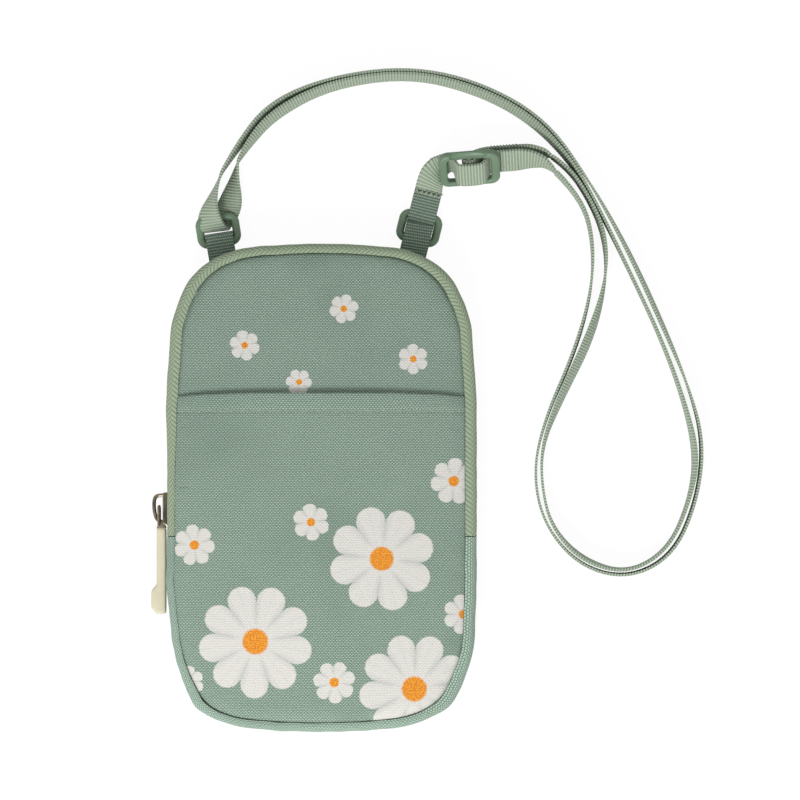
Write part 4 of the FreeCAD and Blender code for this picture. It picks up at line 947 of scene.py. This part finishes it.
# the two tabs, sewn into the top seam and folded round the lower bars
for tabName, root, out, side, replaced, slack, skew in (
        ("leftTab", leftRoot, leftOut, leftSide, "left_tab", 0.3, 0.0),
        ("rightTab", rightRoot, rightOut, rightSide, "right_tab", 3.2, 0.08)):
    tabRows = foldRows(root + out * rings["tabReach"], -out, side + out * skew, rings["tabRoot"],
                       rings["tabRoot"], rings["tabRise"], slack, rings["tabFold"])
    # the tabs take the darker webbing: painted shade and the other side's brick floats
    tab = ribbon(tabName, tabRows, webOtherSidePaintedShade)[0]
    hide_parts(replaced)
    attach(tab, "pouch")
print("left fold and tabs ready")


# right ring: the strap's cut end is sewn back on itself, then one layer runs on to the adjuster
glide = {"x": 54.9, "y": 118.4, "z": 8.0, "heading": 4.5, "tilt": 45.0, "thick": 3.2, "bar": 2.4,
         "high": 15.4}
heading, tilt = glide["heading"], glide["tilt"]
glideAlong = sideways(heading - 90, 0)
glideAcross = sideways(heading, tilt)
glideOut = glideAlong.cross(glideAcross)
glideSpot = Vector((glide["x"], glide["y"], glide["z"]))


def onGlide(along, out, across=0.0):
    return glideSpot + glideAlong * along + glideOut * out + glideAcross * across


def glideRows(*spots):
    # rows square across the adjuster, each from its place along it and its height over it
    return [(onGlide(*spot), glideAcross) for spot in spots]


under = -glide["thick"] / 2 - 0.35 - web["thick"] / 2
loopRun = glide["bar"] / 2 + 0.25 + web["thick"] / 2
over = loopRun + web["thick"] + 0.3
firstLeg = under - web["thick"] - 0.2
secondLeg = firstLeg - web["thick"] - 0.2
rightBar = rightRoot + rightOut * (rings["tabReach"] + rings["barStep"])
anchorTip = rightBar + rightOut * 8.6
leadIn = onGlide(-11.8, under, -1.2)
leadTurn = sideways(heading + 22, tilt - 10)
anchorRows = foldRows(rightBar, rightOut, rightSide, 8.4, 6.0, 0.72, 0.0, rings["fold"])
anchorRows += [(rightBar + rightOut * 9.6 + up * -0.3, -rightSide),
               (anchorTip * 0.64 + leadIn * 0.36 + Vector((-0.4, 0.5, 0.2)), sideways(66, 6)),
               (anchorTip * 0.28 + leadIn * 0.72 + Vector((-0.6, 0.6, 0.2)), sideways(48, 18)),
               (leadIn, leadTurn)]
# the anchor's outer face takes the darker webbing: painted shade and the other side's brick floats
anchor = ribbon("strapAnchor", anchorRows, webOtherSidePaintedShade, other=webLight)[0]
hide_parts("strap_anchor_loop", "strap_lead")
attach(anchor, "right_ring")

# through the adjuster: up over the sewn loop on the centre bar and down again
threadLeftRows = [(leadIn, leadTurn), (onGlide(-8.8, under - 0.3, 1.0), sideways(heading + 26, tilt + 6)),
                  (onGlide(-6.2, under - 0.1, 1.2), sideways(heading + 14, tilt + 4))]
threadLeftRows += glideRows((-5.0, (under + over) / 2), (-4.2, over), (-2.0, over + 0.6), (0.4, over + 0.6))
threadRightRows = glideRows((0.4, over + 0.6), (3.0, over + 0.6), (5.2, over), (6.2, (under + over) / 2),
                            (7.9, under), (10.5, under), (18.3, under))
threadLeft = ribbon("strapThreadLeft", threadLeftRows, webLight)[0]
threadRight = ribbon("strapThreadRight", threadRightRows, webLight)[0]
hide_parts("strap_thread")
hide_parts("strap_thread")
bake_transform(threadLeft)
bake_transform(threadRight)

loopRows = glideRows((8.2, firstLeg), (7.4, firstLeg), (6.6, firstLeg), (3.2, -0.6),
                     (loopRun * 0.95, loopRun * 0.75), (0, loopRun * 1.12),
                     (-loopRun * 1.05, loopRun * 0.62), (-loopRun * 1.1, -loopRun * 0.5),
                     (0.4, -loopRun * 1.25), (4.2, secondLeg * 0.94), (7.2, secondLeg))
endLoop = ribbon("strapEndLoop", loopRows, webLight)[0]
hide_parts("strap_end_loop")
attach(endLoop, "strap_adjuster")
tailRows = glideRows((7.0, secondLeg), (11.0, secondLeg), (15.0, secondLeg), (19.5, secondLeg))
tail = ribbon("strapTail", tailRows, webLight)[0]
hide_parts("strap_back_lead")
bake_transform(tail)


def leadRows(first, turns, strand):
    # from the adjuster's side up on edge into the strand
    rows = glideRows(first)
    for spot, turn, roll in turns:
        rows.append((spot, sideways(heading + turn, tilt + roll)))
    rows.append((strandEnd(strand[0]), sideways(headingOf(strand[0], strand[1]), 90)))
    return rows


backTurns = (((77.2, 124.0, 5.0), 0, 7), ((80.5, 124.2, 5.0), -5, 22), ((83.6, 124.0, 5.2), -22, 35))
outTurns = (((76.0, 121.9, 6.1), -3, 6), ((80.0, 121.5, 5.9), -14, 18), ((84.0, 120.2, 5.6), -32, 33))
backLead = ribbon("strapBackLead", leadRows((19.5, secondLeg), backTurns, strandBack), webLight)[0]
outLead = ribbon("strapOutLead", leadRows((18.3, under), outTurns, strandOut), webLight)[0]
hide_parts("strap_back_lead")
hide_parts("strap_out_lead")
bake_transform(backLead)
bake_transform(outLead)
print("strap ready")


# zip coils: one nylon filament wound along each tape edge
coil = {"pitch": 1.15, "wide": 1.7, "high": 1.15, "wire": 0.3, "sink": 0.35, "proud": 0.15}


def windCoil(name, start, end, front, replaced):
    centre = pouch["depth"] / 2 + (1 if front else -1) * (band["gap"] / 2 + coil["wide"] / 2 - coil["sink"])
    turns = int((end - start) / coil["pitch"])
    points = []
    for quarter in range(turns * 4 + 1):
        rim, out = rimPoint(start + (end - start) * quarter / (turns * 4))
        angle = quarter * math.pi / 2
        inset = band["seat"] - coil["proud"] - coil["high"] / 2 - coil["high"] / 2 * math.cos(angle)
        spot = drawIn(rim - out * inset)
        points.append((spot.x, spot.y, centre + coil["wide"] / 2 * math.sin(angle)))
    wound = wireLine(name, points, coil["wire"], coilFinish, 1, resolution=2)
    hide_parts(*replaced)
    if front:
        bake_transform(wound)
    else:
        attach(wound, "pouch")


windCoil("coilBack", lowLine, zipHigh, False, ("zip_coil_back",))
windCoil("coilFront", lowLine, zipHigh, True, ("zip_coil_front", "zip_coil_front_ends"))
print("coils ready")


# slider: two plates, the post between them and a rounded bridge for the pull
slider = {"middleY": -7.8, "level": 10.5, "plate": (1.2, 12.0, 8.4), "innerPlate": (0.7, 12.0, 8.4),
          "outer": -57.95, "inner": -53.35, "flange": (1.2, 12.0, 1.3), "flangeX": -57.35,
          "flangeStep": 3.4, "post": (4.2, 4.0, 0.8), "postX": -55.7, "postY": -4.4, "bridgeWire": 0.72}
bridgeLine = ((-58.4, -2.9), (-59.8, -2.8), (-61.5, -3.4), (-61.9, -5.6), (-61.8, -8.4), (-61.2, -11.2),
              (-59.9, -12.5), (-58.4, -12.7))
pull = {"x": -59.08, "shift": 0.87, "widen": 1.1, "voxel": 0.25, "neckY": -14.0, "neck": (3.5, 2.4, 7.0),
        "taper": (-15.0, -12.8), "narrow": 0.45}


def roundBlock(name, centre, size, soft):
    clearSelection()
    bpy.ops.mesh.primitive_cube_add(size=1, location=(0, 0, 0))
    block = bpy.context.object
    block.name = name
    for vertex in block.data.vertices:
        vertex.co = metres(*(centre[axis] + vertex.co[axis] * size[axis] for axis in range(3)))
    applyModifier(block, "BEVEL", width=soft * 0.001, segments=4, limit_method="NONE")
    return block


def joinUp(first, others):
    pick(first)
    for other in others:
        other.select_set(True)
    bpy.ops.object.join()


def castBlock(name, x, y, level, size, soft):
    block = roundBlock(name, (x, y, level), size, soft)
    dress(block, metalFinish)
    smooth(block, 60)
    return block


middle, level = slider["middleY"], slider["level"]
sliderOuter = castBlock("sliderShell", slider["outer"], middle, level, slider["plate"], 0.5)
castParts = [castBlock("sliderInner", slider["inner"], middle, level, slider["innerPlate"], 0.3),
             castBlock("sliderPost", slider["postX"], slider["postY"], level, slider["post"], 0.2)]
for rise in (slider["flangeStep"], -slider["flangeStep"]):
    castParts.append(castBlock("flange", slider["flangeX"], middle, level + rise, slider["flange"], 0.3))
castParts.append(wireLine("sliderBridge", [(x, y, level) for x, y in bridgeLine], slider["bridgeWire"],
                          metalFinish, 3))
joinUp(sliderOuter, castParts)
pullNeck = roundBlock("pullNeck", (pull["x"], pull["neckY"], level), pull["neck"], 0.3)
for vertex in pullNeck.data.vertices:
    x, y, z = vertex.co * 1000
    narrow = 1 - pull["narrow"] * ease(y, *pull["taper"])
    vertex.co = metres(pull["x"] + (x - pull["x"]) * narrow, y, level + (z - level) * narrow)
# the tapered neck takes the darkened pull plastic, painted shade
dress(pullNeck, neckPaintedShade)
smooth(pullNeck, 40)
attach(pullNeck, "zip_pull")
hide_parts("slider_body")
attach(sliderOuter, "zip_slider")

def copySolid(nodeName, name):
    pick(nodes[nodeName])
    bpy.ops.object.duplicate()
    piece = bpy.context.object
    piece.name = name
    closeUp(piece)
    return piece


# adjuster: the moulded frame with a shallow thumb scoop in its upper rim
adjuster = copySolid("strap_adjuster", "adjusterFrame")
scoopSpot = onGlide(-0.4, glide["thick"] / 2 - 0.1, glide["high"] / 2 - 0.7)
bpy.ops.mesh.primitive_uv_sphere_add(segments=48, ring_count=24, radius=1, location=scoopSpot * 0.001)
scoop = bpy.context.object
scoop.scale = (0.0068, 0.0021, 0.0017)
scoop.rotation_euler = (0, 0, math.radians(glide["heading"]))
applyModifier(adjuster, "BOOLEAN", operation="DIFFERENCE", object=scoop, solver="EXACT")
bpy.data.objects.remove(scoop)
dress(adjuster, ringFinish)
smooth(adjuster, 28)
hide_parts("strap_adjuster")
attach(adjuster, "strap_adjuster")

# the pull lies a little closer to the band than on the pattern, and is a little thicker
pullTab = copySolid("pull_tab", "pullTab")
for vertex in pullTab.data.vertices:
    fromMiddle = vertex.co.x * 1000 - pull["x"] + pull["shift"]
    vertex.co.x = (pull["x"] + fromMiddle * pull["widen"]) * 0.001
# its moulded edges are soft
applyModifier(pullTab, "REMESH", mode="VOXEL", voxel_size=pull["voxel"] * 0.001)
applyModifier(pullTab, "SMOOTH", factor=0.5, iterations=40)
dress(pullTab, pullFinish)
smooth(pullTab, 35)
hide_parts("pull_tab")
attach(pullTab, "zip_pull")

# rigid solids that keep their shape get their finish
for nodeName, finish in (("pull_link", metalFinish), ("left_ring", ringFinish), ("right_ring", ringFinish)):
    dress(nodes[nodeName], finish)


# sewing: single threads laid on the cloth
def surfaceLevel(piece, x, y):
    found, spot, normal, face = piece.ray_cast(Vector((x * 0.001, y * 0.001, 0.1)), Vector((0, 0, -1)))
    return spot.z * 1000 if found else None


def sewRow(name, finish, thick, runs):
    # each run is one stitch, a short list of points that dips into the cloth at both ends
    pieces = [wireLine(f"{name}{index}", points, thick, finish, 1) for index, points in enumerate(runs)]
    joinUp(pieces[0], pieces[1:])
    pieces[0].name = name
    return pieces[0]


stitch = {"count": 17, "pitch": 3.0, "half": 1.2, "flat": 0.6, "sink": 0.25, "rise": 0.22, "thick": 0.25}
hemRuns = []
for step in range(-stitch["count"], stitch["count"] + 1):
    x = step * stitch["pitch"]
    y = pocket["mouth"] - pocket["hem"] + mouthArch(x) * fade(pocket["hem"], pocket["archReach"])
    level = surfaceLevel(frontPocket, x, y)
    if level:
        low, high = level - stitch["sink"], level + stitch["rise"]
        hemRuns.append([(x - stitch["half"], y, low), (x - stitch["flat"], y, high),
                        (x + stitch["flat"], y, high), (x + stitch["half"], y, low)])
hemStitches = sewRow("hemStitches", hemThread, stitch["thick"], hemRuns)
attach(hemStitches, "front_flap")

# the cut end's frayed stitches
cutEnd = rightBar + rightOut * 8.4
cutRuns = []
for step in range(-5, 6):
    spot = cutEnd + rightSide * (step * 0.92)
    jag = noise.noise(Vector((step * 1.7, 0.4, 2.2)))
    tip = spot + rightSide * (0.8 if step % 2 else -0.7) + rightOut * (0.5 + 0.9 * jag) + up * 0.5
    foot = spot - rightSide * 0.3 - rightOut * (0.5 + 0.5 * jag) + up * 1.35
    cutRuns.append([foot, spot + up * 1.5, tip])
cutStitches = sewRow("cutEndStitches", paleThread, 0.24, cutRuns)
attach(cutStitches, "right_ring")

# oversewing along the upper edge of the tail
tailRuns = []
for step in range(9):
    along = 8.6 + step * 1.15
    reach = 4.196 if step % 2 else 4.388
    tailRuns.append([onGlide(along, secondLeg - 0.7, 4.9), onGlide(along + 0.5, secondLeg + 0.3, 5.3),
                     onGlide(along + 1.1, firstLeg + 0.75, reach)])
tailStitches = sewRow("tailStitches", greyThread, 0.26, tailRuns)
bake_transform(tailStitches)
print("hardware and sewing ready")

# stage, light and camera
stage = {"viewX": 29.2, "viewY": 32.4, "height": 2.01, "lens": 243.0, "paper": 0.93, "sky": 0.70}
clearSelection()
bpy.ops.mesh.primitive_plane_add(size=6, location=(0, 0, -0.0004))
floor = bpy.context.object
floor.name = "floor"
floorFinish, floorTree, floorShader = newFinish("paperFloor", (0.80, 0.80, 0.80), 1.0)
floorShader.inputs["Specular IOR Level"].default_value = 0.0
# the camera and reflections see bright paper; the object only gets the paper's plain bounce
seen = floorTree.nodes.new("ShaderNodeBsdfPrincipled")
setInputs(seen, {"Base Color": (0.10, 0.10, 0.10, 1), "Roughness": 1.0, "Specular IOR Level": 0.0,
                 "Emission Color": (1, 1, 1, 1), "Emission Strength": stage["paper"]})
rays = floorTree.nodes.new("ShaderNodeLightPath").outputs
share = calc(floorTree, "MAXIMUM", rays["Is Camera Ray"], rays["Is Glossy Ray"])
share = calc(floorTree, "MAXIMUM", share, rays["Is Transmission Ray"])
choose = floorTree.nodes.new("ShaderNodeMixShader")
floorTree.links.new(share, choose.inputs[0])
floorTree.links.new(floorShader.outputs[0], choose.inputs[1])
floorTree.links.new(seen.outputs[0], choose.inputs[2])
floorTree.links.new(choose.outputs[0], floorTree.nodes["Material Output"].inputs["Surface"])
floor.data.materials.append(floorFinish)

world = bpy.data.worlds.new("studio")
bpy.context.scene.world = world
world.use_nodes = True
setInputs(world.node_tree.nodes["Background"], {"Color": (1, 1, 1, 1), "Strength": stage["sky"]})


def softLamp(name, place, target, size, power):
    lamp = bpy.data.lights.new(name, "AREA")
    lamp.shape = "DISK"
    lamp.size = size
    lamp.energy = power
    holder = bpy.data.objects.new(name, lamp)
    bpy.context.collection.objects.link(holder)
    holder.location = place
    holder.rotation_euler = (Vector(target) - Vector(place)).to_track_quat("-Z", "Y").to_euler()


softLamp("keyLamp", (-0.14, -0.50, 0.60), (0.02, 0.0, 0), 0.35, 5.2)
softLamp("fillLamp", (0.5, 0.8, 1.2), (0.02, 0.03, 0), 0.9, 0.8)

viewData = bpy.data.cameras.new("photoView")
viewData.lens = stage["lens"]
viewData.sensor_width = 36
view = bpy.data.objects.new("photoView", viewData)
bpy.context.collection.objects.link(view)
view.location = (stage["viewX"] * 0.001, stage["viewY"] * 0.001, stage["height"])
bpy.context.scene.camera = view
bpy.context.scene.view_settings.view_transform = "Standard"

print("scene ready")
